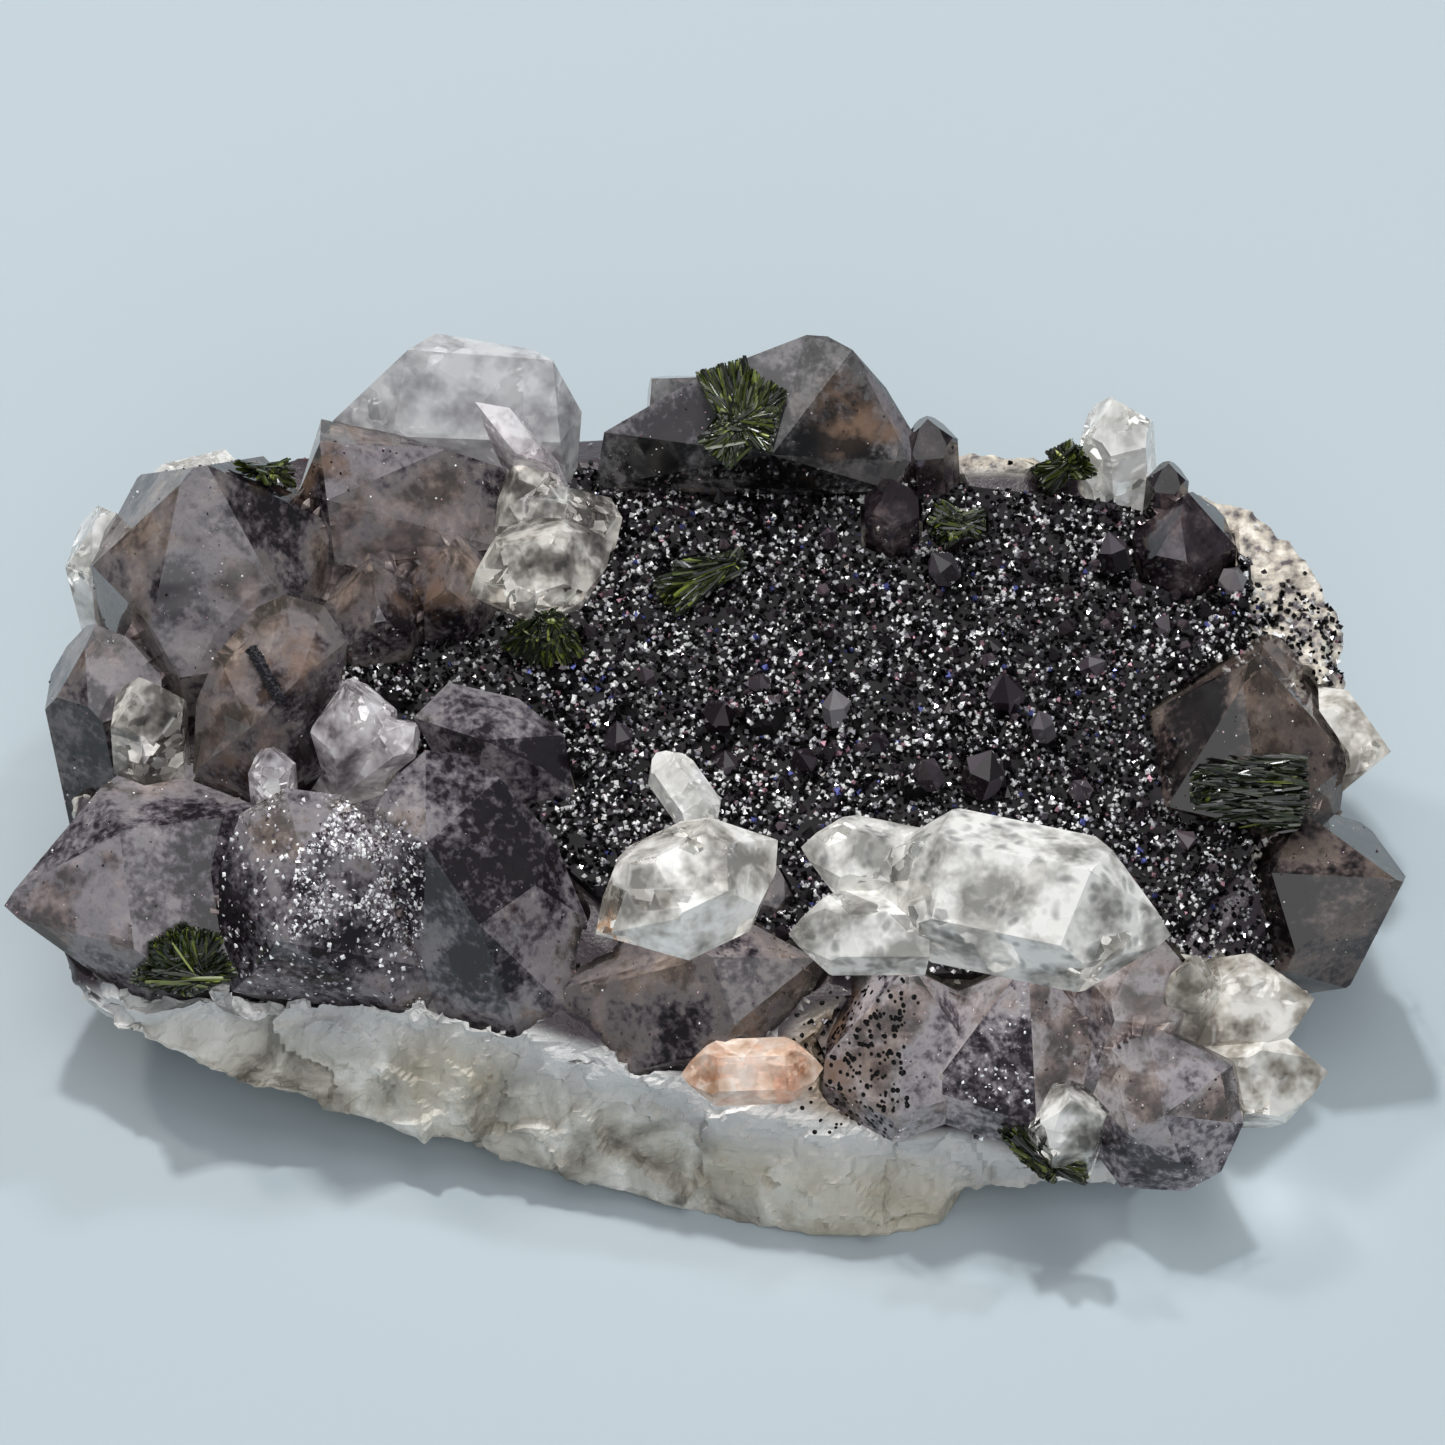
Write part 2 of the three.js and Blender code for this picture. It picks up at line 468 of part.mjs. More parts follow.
// Epidote: a spray of flat green blades from one place. Heart and arms are read off across and up, and the
// blades lie on whatever is nearest to the viewer there.
const EPIDOTE = {
  back_epidote_spray: {
    heart: [1.5, 39], arms: [[0, 43.4], [3.6, 42.4], [4.4, 38.4], [-0.6, 36.6]], width: 2.8,
  },
  field_epidote_blade: { heart: [1.2, 28], arms: [[-4.6, 24.9], [-3.6, 26.4]], width: 1.6 },
  left_epidote_spray: { heart: [-14, 23.8], arms: [[-15.9, 21], [-12.8, 20.6]], width: 2 },
  right_epidote_spray: { heart: [19, 31], arms: [[17, 32], [17.4, 29.8], [21.2, 31]], width: 1.7 },
  top_right_epidote_spray: {
    heart: [28, 35.8], arms: [[25.6, 34.4], [27.2, 37.4], [29.8, 36.2]], width: 1.9,
  },
  left_front_epidote_fan: {
    heart: [-42.3, -5.6], arms: [[-46.2, -4.2], [-44.2, -1.6], [-41.2, -1.4], [-39.2, -3.6]], width: 2.2,
  },
  right_epidote_stack: { heart: [38.2, 9.9], arms: [[46.3, 10.2], [46, 8.6]], width: 1.9, lift: 2 },
  front_epidote_crescent: {
    heart: [24.3, -19.2], arms: [[22.9, -16.9], [26.4, -20.4], [29, -20.2]], width: 1.4,
  },
  back_left_epidote_tuft: { heart: [-36.8, 34.1], arms: [[-38.9, 35], [-35.2, 34.6]], width: 1.2 },
};
const BLADE_FLARE = 0.12;
const BLADE_THICK = 0.8; // of its width

function blade(from, to, width) {
  const along = to.clone().sub(from).normalize();
  const side = new THREE.Vector3().crossVectors(along, TO_VIEWER).normalize();
  const out = new THREE.Vector3().crossVectors(side, along).normalize();
  const faces = [
    { normal: along, reach: along.dot(to) },
    { normal: along.clone().negate(), reach: -along.dot(from) },
  ];
  for (const [axis, half] of [[side, width / 2], [out, (BLADE_THICK * width) / 2]])
    for (const sign of [1, -1]) {
      const flare = axis.clone().multiplyScalar(sign).addScaledVector(along, -BLADE_FLARE).normalize();
      faces.push({ normal: flare, reach: flare.dot(from) + half });
    }
  return faces;
}

// The place nearest to the viewer at a point across and up, and lift beyond it. Past every edge it stays as
// near to the viewer as the place it started from.
const FAR = 200;
function laid([across, up], lift, bodies, start = new THREE.Vector3()) {
  const far = seen([across, up, 0]).addScaledVector(TO_VIEWER, FAR);
  const [hit] = new THREE.Raycaster(far, TO_VIEWER.clone().negate()).intersectObjects(bodies);
  if (hit) return hit.point.clone().addScaledVector(TO_VIEWER, lift);
  return far.addScaledVector(TO_VIEWER, start.clone().sub(far).dot(TO_VIEWER));
}

function spray({ heart, arms, width, lift = width / 4 }, bodies) {
  const from = laid(heart, lift, bodies);
  return arms.map((arm) => {
    const to = laid(arm, lift, bodies, from);
    return blade(from.clone().lerp(to, -0.1), to, width);
  });
}

// A black goethite rod that leans on the left crystals: its two ends, and how far they stand off.
const GOETHITE_ROD = { root: [-34.9, 16.6], tip: [-37.4, 20.9], lift: 0.5, radius: 0.42 };

function rod({ root, tip, lift, radius }, bodies) {
  const [foot, top] = [root, tip].map((place) => laid(place, lift, bodies));
  const axis = top.clone().sub(foot).normalize();
  const side = new THREE.Vector3().crossVectors(axis, TO_VIEWER).normalize();
  const faces = [
    { normal: axis, reach: axis.dot(top) },
    { normal: axis.clone().negate(), reach: -axis.dot(foot) },
  ];
  for (let k = 0; k < 6; k++) {
    const out = side.clone().applyAxisAngle(axis, THREE.MathUtils.degToRad(60 * k));
    faces.push({ normal: out, reach: out.dot(foot) + radius });
  }
  return faces;
}

// Each piece, and the same a gap larger, so that what it stands in is cut clear of it.
const build = (name, parts) => ({
  name,
  solid: joined(parts.map((faces) => fromFaces(faces))),
  room: joined(parts.map((faces) => fromFaces(faces, GAP))),
});

const crystals = Object.entries(CRYSTALS).map(([name, parts]) => build(name, parts));
const [quartz, druse] = [milkyQuartz(), druseCrust()];
const grounds = [quartz, druse, ...crystals.map((piece) => piece.solid)];
const bodies = grounds.map((solid) => new THREE.Mesh(geometryOf(solid)));
const pieces = [...crystals, build("goethite_rod", [rod(GOETHITE_ROD, bodies)])];
for (const [name, shape] of Object.entries(EPIDOTE)) {
  const solid = joined(spray(shape, bodies).map((faces) => fromFaces(faces)));
  pieces.push({ name, solid, room: fromFaces(wrap(cornersOf(solid)), GAP) });
}
pieces.forEach((piece, i) => {
  for (const other of pieces.slice(0, i)) piece.solid = piece.solid.subtract(other.room);
});
const rooms = joined(pieces.map((piece) => piece.room));
pieces.push({ name: "druse_crust", solid: druse.subtract(rooms) });
pieces.push({ name: "milky_quartz_base", solid: quartz.subtract(rooms) });

const FINISHES = {
  smoky: { color: 0x6b6068, roughness: 0.12, metalness: 0 },
  clear: { color: 0xcfccc6, roughness: 0.08, metalness: 0 },
  peach: { color: 0xd9b49c, roughness: 0.15, metalness: 0 },
  epidote: { color: 0x39421a, roughness: 0.35, metalness: 0 },
  goethite: { color: 0x17131a, roughness: 0.5, metalness: 0.2 },
  druse: { color: 0x2c2830, roughness: 0.25, metalness: 0.3 },
  milky: { color: 0xa5a6a2, roughness: 0.6, metalness: 0 },
};
const finishOf = (name) => {
  if (/epidote/.test(name)) return "epidote";
  if (/goethite/.test(name)) return "goethite";
  if (/crust/.test(name)) return "druse";
  if (/milky/.test(name)) return "milky";
  if (/peach/.test(name)) return "peach";
  return /clear|pale/.test(name) ? "clear" : "smoky";
};

const specimen = new THREE.Group();
for (const { name, solid } of pieces) {
  const geometry = geometryOf(biggest(solid));
  const mesh = new THREE.Mesh(geometry, new THREE.MeshStandardMaterial(FINISHES[finishOf(name)]));
  mesh.name = name;
  specimen.add(mesh);
}

const box = new THREE.Box3().setFromObject(specimen, true);
const middle = box.getCenter(new THREE.Vector3());
specimen.position.set(-middle.x, -middle.y, -box.min.z);

export default specimen;
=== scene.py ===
import math

import bmesh
import bpy
import numpy as np
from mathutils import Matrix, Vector
from mathutils.bvhtree import BVHTree


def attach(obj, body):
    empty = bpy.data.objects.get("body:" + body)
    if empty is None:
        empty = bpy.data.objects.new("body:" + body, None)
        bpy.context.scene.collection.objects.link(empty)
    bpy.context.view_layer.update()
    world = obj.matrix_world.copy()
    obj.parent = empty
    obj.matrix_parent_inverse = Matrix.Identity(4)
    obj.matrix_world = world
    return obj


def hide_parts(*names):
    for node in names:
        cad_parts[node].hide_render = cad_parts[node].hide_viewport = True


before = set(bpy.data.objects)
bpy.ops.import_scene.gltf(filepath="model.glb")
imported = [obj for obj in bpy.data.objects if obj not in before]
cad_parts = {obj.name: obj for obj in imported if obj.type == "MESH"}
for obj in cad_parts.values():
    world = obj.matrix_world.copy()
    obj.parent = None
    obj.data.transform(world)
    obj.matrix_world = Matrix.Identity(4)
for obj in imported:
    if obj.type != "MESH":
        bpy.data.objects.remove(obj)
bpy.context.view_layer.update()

# Milky quartz: the broken lower part of the plate, massive white to grey vein quartz, snapped off the pocket
# wall, so its sides are fresh conchoidal chips with sugary beige patches, and its top is lined by fine druse.
# Its form is the CAD solid's, closed from even squares and then cut back by the chips.
MM = 0.001
VIEW_ANGLE = math.radians(52)  # the photograph looks down on the plate at this angle
OFFSET = np.array([1.358, -0.758, 0.0]) * MM  # from the point that across and up are measured from
to_viewer = Vector((0, -math.cos(VIEW_ANGLE), math.sin(VIEW_ANGLE)))


def seen(across, up, height):
    """Frame position of a place met across and up the picture, in mm: up = y sin(angle) + height cos(angle)."""
    y = (up - height * math.cos(VIEW_ANGLE)) / math.sin(VIEW_ANGLE)
    return np.array([across, y, height]) * MM + OFFSET


def met(places):
    """The picture's across and up, in mm, of frame positions: the formula of seen turned round."""
    spots = (places - OFFSET) / MM
    return spots[:, 0], spots[:, 1] * math.sin(VIEW_ANGLE) + spots[:, 2] * math.cos(VIEW_ANGLE)


def lattice(cells, seed):
    """A repeatable number from 0 to 1 for each whole cell: the fraction of a large multiple of a sine."""
    spread = np.sin(cells @ np.array([12.9898, 78.233, 37.719]) + seed * 4.13) * 43758.5453
    return spread - np.floor(spread)


def noise(places, size, seed=0):
    """Smooth noise from -1 to 1: the eight lattice values round a place, mixed by t t (3 - 2 t) each way."""
    grid = places / size
    low = np.floor(grid)
    share = grid - low
    share = share * share * (3 - 2 * share)
    total = np.zeros(len(places))
    for corner in np.ndindex(2, 2, 2):
        total += np.where(corner, share, 1 - share).prod(axis=1) * lattice(low + corner, seed)
    return 2 * total - 1


def rough(places, size, seed=0, octaves=3):
    """Noise on noise: each octave has half the size and half the height of the one before."""
    return sum(noise(places, size / 2**k, seed + k) / 2**k for k in range(octaves))


def chips(places, size, seed=0):
    """Broken faces: a place takes the tilted plane of the nearest of the jittered points, one to a cell."""
    grid = places / size
    best = np.full(len(places), np.inf)
    height = np.zeros(len(places))
    for step in np.ndindex(3, 3, 3):
        cell = np.floor(grid) + np.array(step) - 1
        way = grid - cell - np.stack([lattice(cell, seed + k) for k in range(3)], axis=1)
        slope = np.stack([lattice(cell, seed + k) - 0.5 for k in range(3, 6)], axis=1)
        here = lattice(cell, seed + 6) + 2 * (way * slope).sum(axis=1)
        nearer = (way**2).sum(axis=1) < best
        best = np.where(nearer, (way**2).sum(axis=1), best)
        height = np.where(nearer, here, height)
    return height


def smooth_step(value, low, high):
    """0 below low, 1 above high, and t t (3 - 2 t) between them."""
    share = np.clip((value - low) / (high - low), 0, 1)
    return share * share * (3 - 2 * share)


def spot_share(across, up, spot, full, none):
    """1 in the middle of a round spot and 0 away from it, by distance over reach, from full to none."""
    return 1 - smooth_step(np.hypot(across - spot[0], up - spot[1]) / spot[2], full, none)


def reworked(node, *steps):
    """A copy of a CAD node's mesh after some modifiers, each given as its kind and its settings."""
    spare = bpy.data.objects.new("spare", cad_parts[node].data.copy())
    bpy.context.scene.collection.objects.link(spare)
    for kind, settings in steps:
        step = spare.modifiers.new(kind, kind)
        for key, value in settings.items():
            setattr(step, key, value)
    mesh = bpy.data.meshes.new_from_object(spare.evaluated_get(bpy.context.evaluated_depsgraph_get()))
    bpy.data.objects.remove(spare)
    mesh.materials.clear()
    return mesh


def read(items, key, width=3):
    """One property of many mesh items as an array with a row for each."""
    values = np.empty(len(items) * width, np.float32)
    items.foreach_get(key, values)
    return values.reshape(-1, width).astype(float)


def in_one_piece(mesh):
    """Whether each vertex is in the mesh's largest connected part: each takes the least label it can reach."""
    ends = read(mesh.edges, "vertices", 2).astype(int)
    label, before = np.arange(len(mesh.vertices)), None
    while before is None or (label != before).any():
        before = label.copy()
        least = label[ends].min(axis=1)
        np.minimum.at(label, ends[:, 0], least)
        np.minimum.at(label, ends[:, 1], least)
        label = label[label]
    return label == np.bincount(label).argmax()


def store(mesh, name, values):
    """Keeps one number, or one colour, for each vertex under that name."""
    kind, key = ("FLOAT", "value") if values.ndim == 1 else ("FLOAT_COLOR", "color")
    mesh.attributes.new(name, kind, "POINT").data.foreach_set(key, values.astype(np.float32).ravel())


def linear(code):
    """Linear red, green, blue and alpha of an sRGB hex value: ((v + 0.055) / 1.055) to the power 2.4."""
    parts = [int(code[i : i + 2], 16) / 255 for i in (1, 3, 5)]
    return (*[v / 12.92 if v <= 0.04045 else ((v + 0.055) / 1.055) ** 2.4 for v in parts], 1.0)


def material(name):
    """A new material, its node tree and its surface shader."""
    made = bpy.data.materials.new(name)
    made.use_nodes = True
    return made, made.node_tree, made.node_tree.nodes["Principled BSDF"]


def fill(node, inputs):
    """Gives a node its inputs: each is a value, or the output of another node."""
    for key, value in inputs.items():
        if isinstance(value, bpy.types.NodeSocket):
            node.id_data.links.new(value, node.inputs[key])
        else:
            node.inputs[key].default_value = value


def add(tree, kind, inputs=None, stops=None, out=0, **settings):
    """Adds one node with its settings, inputs and the stops of its ramp, and gives back one of its outputs."""
    node = tree.nodes.new("ShaderNode" + kind)
    for key, value in settings.items():
        setattr(node, key, value)
    fill(node, inputs or {})
    for i, (place, colour) in enumerate(stops or []):
        if i >= 2:
            node.color_ramp.elements.new(place)
        node.color_ramp.elements[i].position = place
        node.color_ramp.elements[i].color = linear(colour)
    return node.outputs[out]


def piece(name, mesh, finish):
    """A new visible piece of the object, at the origin, riding on the part's one body."""
    made = bpy.data.objects.new(name.replace(" ", "_"), mesh)
    bpy.context.scene.collection.objects.link(made)
    mesh.materials.append(finish)
    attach(made, "root")
    return made


# The line, across and up, along which the crystals end and the broken front of the plate begins.
FRONT_LINE = [[-60, -50, -45, -37, -28, -22, -17, -13, -3, 1, 10, 20, 30, 40, 60],
              [-6, -7.5, -6, -6, -8, -7.3, -9.5, -11, -14, -15.5, -17, -19, -21.5, -17, -9]]
RIM_SLANT = 0.35  # how the inner border of the right rim slants, across for each mm up
SPOTTED = [9.5, -12, 5.5]  # the beige patch with round black spots: its middle across and up, and its reach
BETWEEN = [-9.5, -4.5, 7.5]  # the deep gap between two front crystals, in the same way
RELIEF = 0.8 * MM
UNDERCUT = [17, 21, 29, 33]  # across, the stretch where the front edge hangs over the table
UNDERCUT_BY = 4.5 * MM
UNDERCUT_TOP = [1.2 * MM, 3.2 * MM]
UNDERCUT_BACK = 9 * MM

stone_mesh = reworked("milky_quartz_base", ("REMESH", {"mode": "VOXEL", "voxel_size": 0.42 * MM}),
                      ("SMOOTH", {"factor": 0.5, "iterations": 4}))
whole = bmesh.new()
whole.from_mesh(stone_mesh)
crumbs = [vertex for vertex, keeps in zip(whole.verts, in_one_piece(stone_mesh)) if not keeps]
bmesh.ops.delete(whole, geom=crumbs, context="VERTS")
whole.to_mesh(stone_mesh)
whole.free()
stone = read(stone_mesh.vertices, "co")
outward = read(stone_mesh.vertex_normals, "vector")
across, up = met(stone)
above = up - np.interp(across, *FRONT_LINE)
patch = spot_share(across, up, SPOTTED, 0.6, 1)
# The deep gap and the top behind the front line are later painted dark plum-grey: painted shade among the
# crystals.
gap = spot_share(across, up, BETWEEN, 0.7, 1) * smooth_step(above, 0.3, 1.4)
inner = smooth_step(above, 0.3, 1.8) * smooth_step(outward[:, 2], 0.0, 0.45) * (1 - patch)
inner = np.maximum(inner, gap)
right_rim = smooth_step(across - RIM_SLANT * up, 24, 29) * smooth_step(up, 2, 10)
back_rim = smooth_step(across, 16, 20) * smooth_step(up, 34.6, 36)
rim = np.maximum(right_rim, back_rim)

# The front breaks in chips of three sizes, the rim is lumpy, and the lined top lies a little lower.
bent = stone + 1.2 * MM * np.stack([rough(stone, 4 * MM, 41 + k) for k in range(3)], axis=1)
broken = 1.6 * chips(bent, 10 * MM, 3) + 0.6 * chips(bent, 3.8 * MM, 11) + 0.22 * chips(stone, 1.5 * MM, 5)
lumps = 1.1 * (1 - np.abs(rough(stone, 3.2 * MM, 17)))
depth = (1 - inner) * (1 - rim) * (broken - 0.5) + rim * (0.9 - lumps) + inner * (1 - rim) * 0.3
above_foot = smooth_step(stone[:, 2], 0.0, 0.8 * MM)
stone -= outward * (depth * above_foot)[:, None] * RELIEF

# Low down at the right the front edge is moved back, so that the stone hangs over its own shadow.
hangs = smooth_step(across, *UNDERCUT[:2]) * (1 - smooth_step(across, *UNDERCUT[2:]))
columns = np.round(across).astype(int) - int(np.floor(across.min()))
edge = np.full(columns.max() + 1, np.inf)
np.minimum.at(edge, columns, stone[:, 1])
low = hangs * (1 - smooth_step(stone[:, 2], *UNDERCUT_TOP))
stone[:, 1] += UNDERCUT_BY * low * (1 - smooth_step(stone[:, 1] - edge[columns], 0, UNDERCUT_BACK))
stone[:, 2] = np.maximum(stone[:, 2], 0)
stone_mesh.vertices.foreach_set("co", stone.astype(np.float32).ravel())
band = smooth_step(above, -5.5, -0.5) * (1 - smooth_step(above, 6, 12))
for name, share in (("inner", inner * (1 - rim)), ("rim", rim), ("patch", patch), ("band", band)):
    store(stone_mesh, name, share)
stone_mesh.shade_flat()

# Vein quartz: waxy, so its broken faces look greasy, with thin black dashes where it meets the crystals.
stone_finish, tree, shader = material("milky vein quartz")
where = add(tree, "TexCoord", out="Object")
top_shade, rimmed, patched, banded = [add(tree, "Attribute", out="Fac", attribute_name=name)
                                  for name in ("inner", "rim", "patch", "band")]
patches = add(tree, "TexNoise", {"Vector": where, "Scale": 170, "Detail": 6, "Roughness": 0.6,
                                 "Distortion": 0.6})
colour = add(tree, "ValToRGB", {"Fac": patches},
             [(0.34, "#6c675e"), (0.43, "#a29d93"), (0.53, "#c9c5bb"), (0.64, "#ebe9e3")])
sugar = add(tree, "TexNoise", {"Vector": where, "Scale": 75, "Detail": 4})
sugary = add(tree, "ValToRGB", {"Fac": sugar}, [(0.48, "#000000"), (0.60, "#ffffff")])
sugar_share = add(tree, "Math", {0: sugary, 1: 0.6}, operation="MULTIPLY")
band_share = add(tree, "Math", {0: banded, 1: 0.7}, operation="MULTIPLY")
cream_spots = add(tree, "TexNoise", {"Vector": where, "Scale": 900, "Detail": 4})
cream = add(tree, "ValToRGB", {"Fac": cream_spots},
            [(0.36, "#5a5256"), (0.44, "#a39b92"), (0.54, "#cdc3b4"), (0.66, "#ebe5d8")])
# The dark plum-grey cover on the top and in the gap is painted shade among the crystals.
for share, cover in ((sugar_share, linear("#bfb59f")), (band_share, linear("#d9dbde")), (rimmed, cream),
                     (top_shade, linear("#3a3036")), (patched, linear("#968777"))):
    colour = add(tree, "MixRGB", {"Fac": share, "Color1": colour, "Color2": cover})
drawn_out = add(tree, "Mapping", {"Vector": where, "Scale": (260, 260, 1500)})
dashes = add(tree, "TexNoise", {"Vector": drawn_out, "Scale": 1, "Detail": 2})
dark_line = add(tree, "ValToRGB", {"Fac": dashes}, [(0.69, "#ffffff"), (0.74, "#6b666a")])
dashed = add(tree, "MixRGB", {"Fac": banded, "Color1": colour, "Color2": dark_line},
             blend_type="MULTIPLY")
grain = add(tree, "TexNoise", {"Vector": where, "Scale": 900, "Detail": 4, "Roughness": 0.7})
bump = add(tree, "Bump", {"Height": grain, "Strength": 0.7, "Distance": 0.3 * MM})
QUARTZ_IOR = 1.54
fill(shader, {"Base Color": dashed, "Normal": bump, "Roughness": 0.42, "IOR": QUARTZ_IOR})
base = piece("broken milky quartz", stone_mesh, stone_finish)
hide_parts("milky_quartz_base")

# Druse: the sparkling field. Thousands of quartz points under a millimetre, dark with hematite and amethyst
# colour inside, grown side by side on the milky quartz, each face catching the light at its own angle.
# They are one mesh of copies, sunk into the crust that carries them.
GRAINS = 24400
ON_CRUST = 0.72
ON_STONE = 0.28
GRAIN_RADIUS = [0.16 * MM, 0.37 * MM]
# The white, pink and blue points are painted glints that stand in for the flash of the faces; the rest are the
# dark quartz.
GRAIN_TONES_AND_GLINTS = [(42, "#0a080a"), (15, "#1c181c"), (9, "#4a454b"), (12, "#a3a1a8"), (36, "#ffffff"),
               (2.8, "#a8808c"), (1.4, "#5a60a0")]
GLINT_LEVEL = 0.12  # points with more green than this are light ones, which are smaller
LARGER = 150
LARGER_RADIUS = [0.5 * MM, 0.95 * MM]
# Points that stand well out of the field: across, up, radius in mm, and colour.
POINTS = [(22.6, 17.0, 2.1, "#2a2128"), (20.8, 10.9, 2.1, "#2c2529"), (16.4, 10.9, 1.5, "#3f373c"),
          (25.6, 14.6, 1.3, "#5f5a5f"), (9.2, 16.0, 1.5, "#7b777b"), (17.8, 27.4, 1.5, "#3b373b"),
          (31.5, 28.4, 1.6, "#1b151a"), (6.6, 11.8, 1.4, "#2a2128"), (41.0, 26.2, 1.5, "#8d888b"),
          (-8.2, 13.6, 1.5, "#332a31"), (-0.4, 15.4, 1.8, "#241c22"), (3.0, 17.8, 1.3, "#443b41"),
          (-12.0, 20.6, 1.2, "#2a2128"), (-6.0, 18.4, 1.0, "#3f373c"), (12.4, 13.2, 1.2, "#332a31"),
          (29.6, 19.4, 1.2, "#3b3238"), (34.6, 14.2, 1.2, "#3f373c"), (35.4, 22.6, 1.1, "#241c22"),
          (8.6, 29.6, 1.1, "#332a31"), (0.6, 11.6, 1.2, "#3b3238"), (28.6, 9.4, 1.3, "#443b41")]
POINT_WAY = np.array(to_viewer) * 0.5 + np.array([0, 0.35, 0.6])  # the way most of them lean
chance = np.random.default_rng(7)


def spots_on(mesh, count, keep=None):
    """Random places on a mesh and the outward directions there: a triangle by its area, then a place in it."""
    mesh.calc_loop_triangles()
    corners = read(mesh.vertices, "co")[read(mesh.loop_triangles, "vertices").astype(int)]
    cross = np.cross(corners[:, 1] - corners[:, 0], corners[:, 2] - corners[:, 0])
    area = np.linalg.norm(cross, axis=1)
    facing = cross / np.maximum(area, 1e-12)[:, None]
    weight = area if keep is None else area * keep(corners.mean(axis=1), facing)
    chosen = chance.choice(len(area), count, p=weight / weight.sum())
    first, second = np.sqrt(chance.random(count)), chance.random(count)
    shares = np.stack([1 - first, first * (1 - second), first * second], axis=1)
    return (corners[chosen] * shares[:, :, None]).sum(axis=1), facing[chosen]


def leaning(ways, spread):
    """Each direction tilted at random: a normal step of that spread is added, and the sum made one long."""
    tilted = ways + chance.normal(scale=spread, size=ways.shape)
    return tilted / np.linalg.norm(tilted, axis=1)[:, None]


def turned(axes):
    """Two directions square to each axis and to each other, turned round it by a random angle."""
    start = np.cross(axes, chance.normal(size=axes.shape))
    start /= np.linalg.norm(start, axis=1)[:, None]
    return start, np.cross(axes, start)


def scattered(name, shape, faces, centres, axes, radii, heights, colours):
    """One mesh of many copies: each corner of the shape is centre + radius (x u + y v) + height z axis."""
    u, v = turned(axes)
    flat = shape[None, :, 0, None] * u[:, None] + shape[None, :, 1, None] * v[:, None]
    tall = shape[None, :, 2, None] * axes[:, None] * heights[:, None, None]
    places = centres[:, None] + flat * radii[:, None, None] + tall
    corners = faces[None] + len(shape) * np.arange(len(centres))[:, None, None]
    mesh = bpy.data.meshes.new(name)
    mesh.from_pydata(places.reshape(-1, 3).tolist(), [], corners.reshape(-1, 3).tolist())
    store(mesh, "tone", np.repeat(colours, len(shape), axis=0))
    return mesh


def shades(count, choices):
    """A random colour for each item, from (share, sRGB hex) choices, made up to a fifth lighter or darker."""
    shares = np.array([share for share, _ in choices])
    colours = np.array([linear(code) for _, code in choices])
    picked = colours[chance.choice(len(choices), count, p=shares / shares.sum())]
    picked[:, :3] *= chance.uniform(0.8, 1.2, count)[:, None]
    return picked


def double_point(sides):
    """A ring of corners with one above and one below, and its triangles: a short crystal with two points."""
    ring = [[math.cos(math.tau * k / sides), math.sin(math.tau * k / sides), 0] for k in range(sides)]
    faces = [[k, (k + 1) % sides, sides] for k in range(sides)]
    faces += [[(k + 1) % sides, k, sides + 1] for k in range(sides)]
    return np.array([*ring, [0, 0, 1], [0, 0, -1]]), np.array(faces)


def tall_point(sides):
    """A column with a sunk foot and a pointed top: two rings, an apex and the middle of the foot."""
    turns = [math.tau * k / sides for k in range(sides)]
    rings = [[math.cos(turn), math.sin(turn), z] for z in (-0.7, 0.45) for turn in turns]
    faces = []
    for k in range(sides):
        after = (k + 1) % sides
        faces += [[k, after, sides + after], [k, sides + after, sides + k],
                  [sides + k, sides + after, 2 * sides], [after, k, 2 * sides + 1]]
    return np.array([*rings, [0, 0, 1.4], [0, 0, -0.7]]), np.array(faces)


def upward(centres, facing):
    """Which triangles of the crust carry points: those that look up."""
    return facing[:, 2] > 0.3


def inside_line(centres, facing):
    """Which triangles of the milky quartz carry druse: those that look up, above the foot and behind the front
    line. It is thickest where the stone is open to view, at the right end and on the lower right rim."""
    across, up = met(centres)
    behind = smooth_step(up - np.interp(across, *FRONT_LINE), 0.8, 2.2)
    right_end = smooth_step(across, 31, 35) * (1 - smooth_step(up, 4, 8))
    lower_rim = smooth_step(across - RIM_SLANT * up, 24, 27) * (1 - smooth_step(up, 24.5, 27.5))
    upper = (facing[:, 2] > 0.2) & (centres[:, 2] > 1.5 * MM)
    return behind * upper * (1 + 11 * right_end + 30 * lower_rim)


def surface(node):
    """The faces of a CAD node, to ask for the nearest point or for what a line meets."""
    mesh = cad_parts[node].data
    return BVHTree.FromPolygons([v.co for v in mesh.vertices], [tuple(p.vertices) for p in mesh.polygons])


def sight(solid, across, up):
    """What the line of sight at that place meets first: the point, or where it starts, and the outward way."""
    start = Vector(seen(across, up, 0)) + to_viewer * 0.2
    point, facing, _, _ = solid.ray_cast(start, -to_viewer)
    return point or start, facing


def toned(name, values):
    """A material in the tones that are stored in the mesh, with these values of its shader."""
    made, tree, shader = material(name)
    fill(shader, {"Base Color": add(tree, "Attribute", attribute_name="tone"), **values})
    return made


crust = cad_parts["druse_crust"]
on_crust, crust_up = spots_on(crust.data, int(GRAINS * ON_CRUST), upward)
on_stone, stone_up = spots_on(stone_mesh, int(GRAINS * ON_STONE), inside_line)
centres = np.concatenate([on_crust, on_stone])
axes = leaning(np.concatenate([crust_up, stone_up]), 0.45)
swell = rough(centres, 3.5 * MM, 51)  # where the field swells, its points are larger and lighter
centres += axes * (0.3 * MM * np.maximum(swell, 0))[:, None]
radii = chance.uniform(*GRAIN_RADIUS, len(centres)) * (1 + 0.15 * swell)
tones = shades(len(centres), GRAIN_TONES_AND_GLINTS)
radii *= np.where(tones[:, 1] > GLINT_LEVEL, 0.8, 1.06)
tones[:, :3] *= np.clip(1.05 + 0.6 * swell, 0.5, 1.8)[:, None]
grain_mesh = scattered("druse", *double_point(4), centres, axes, radii, 1.15 * radii, tones)
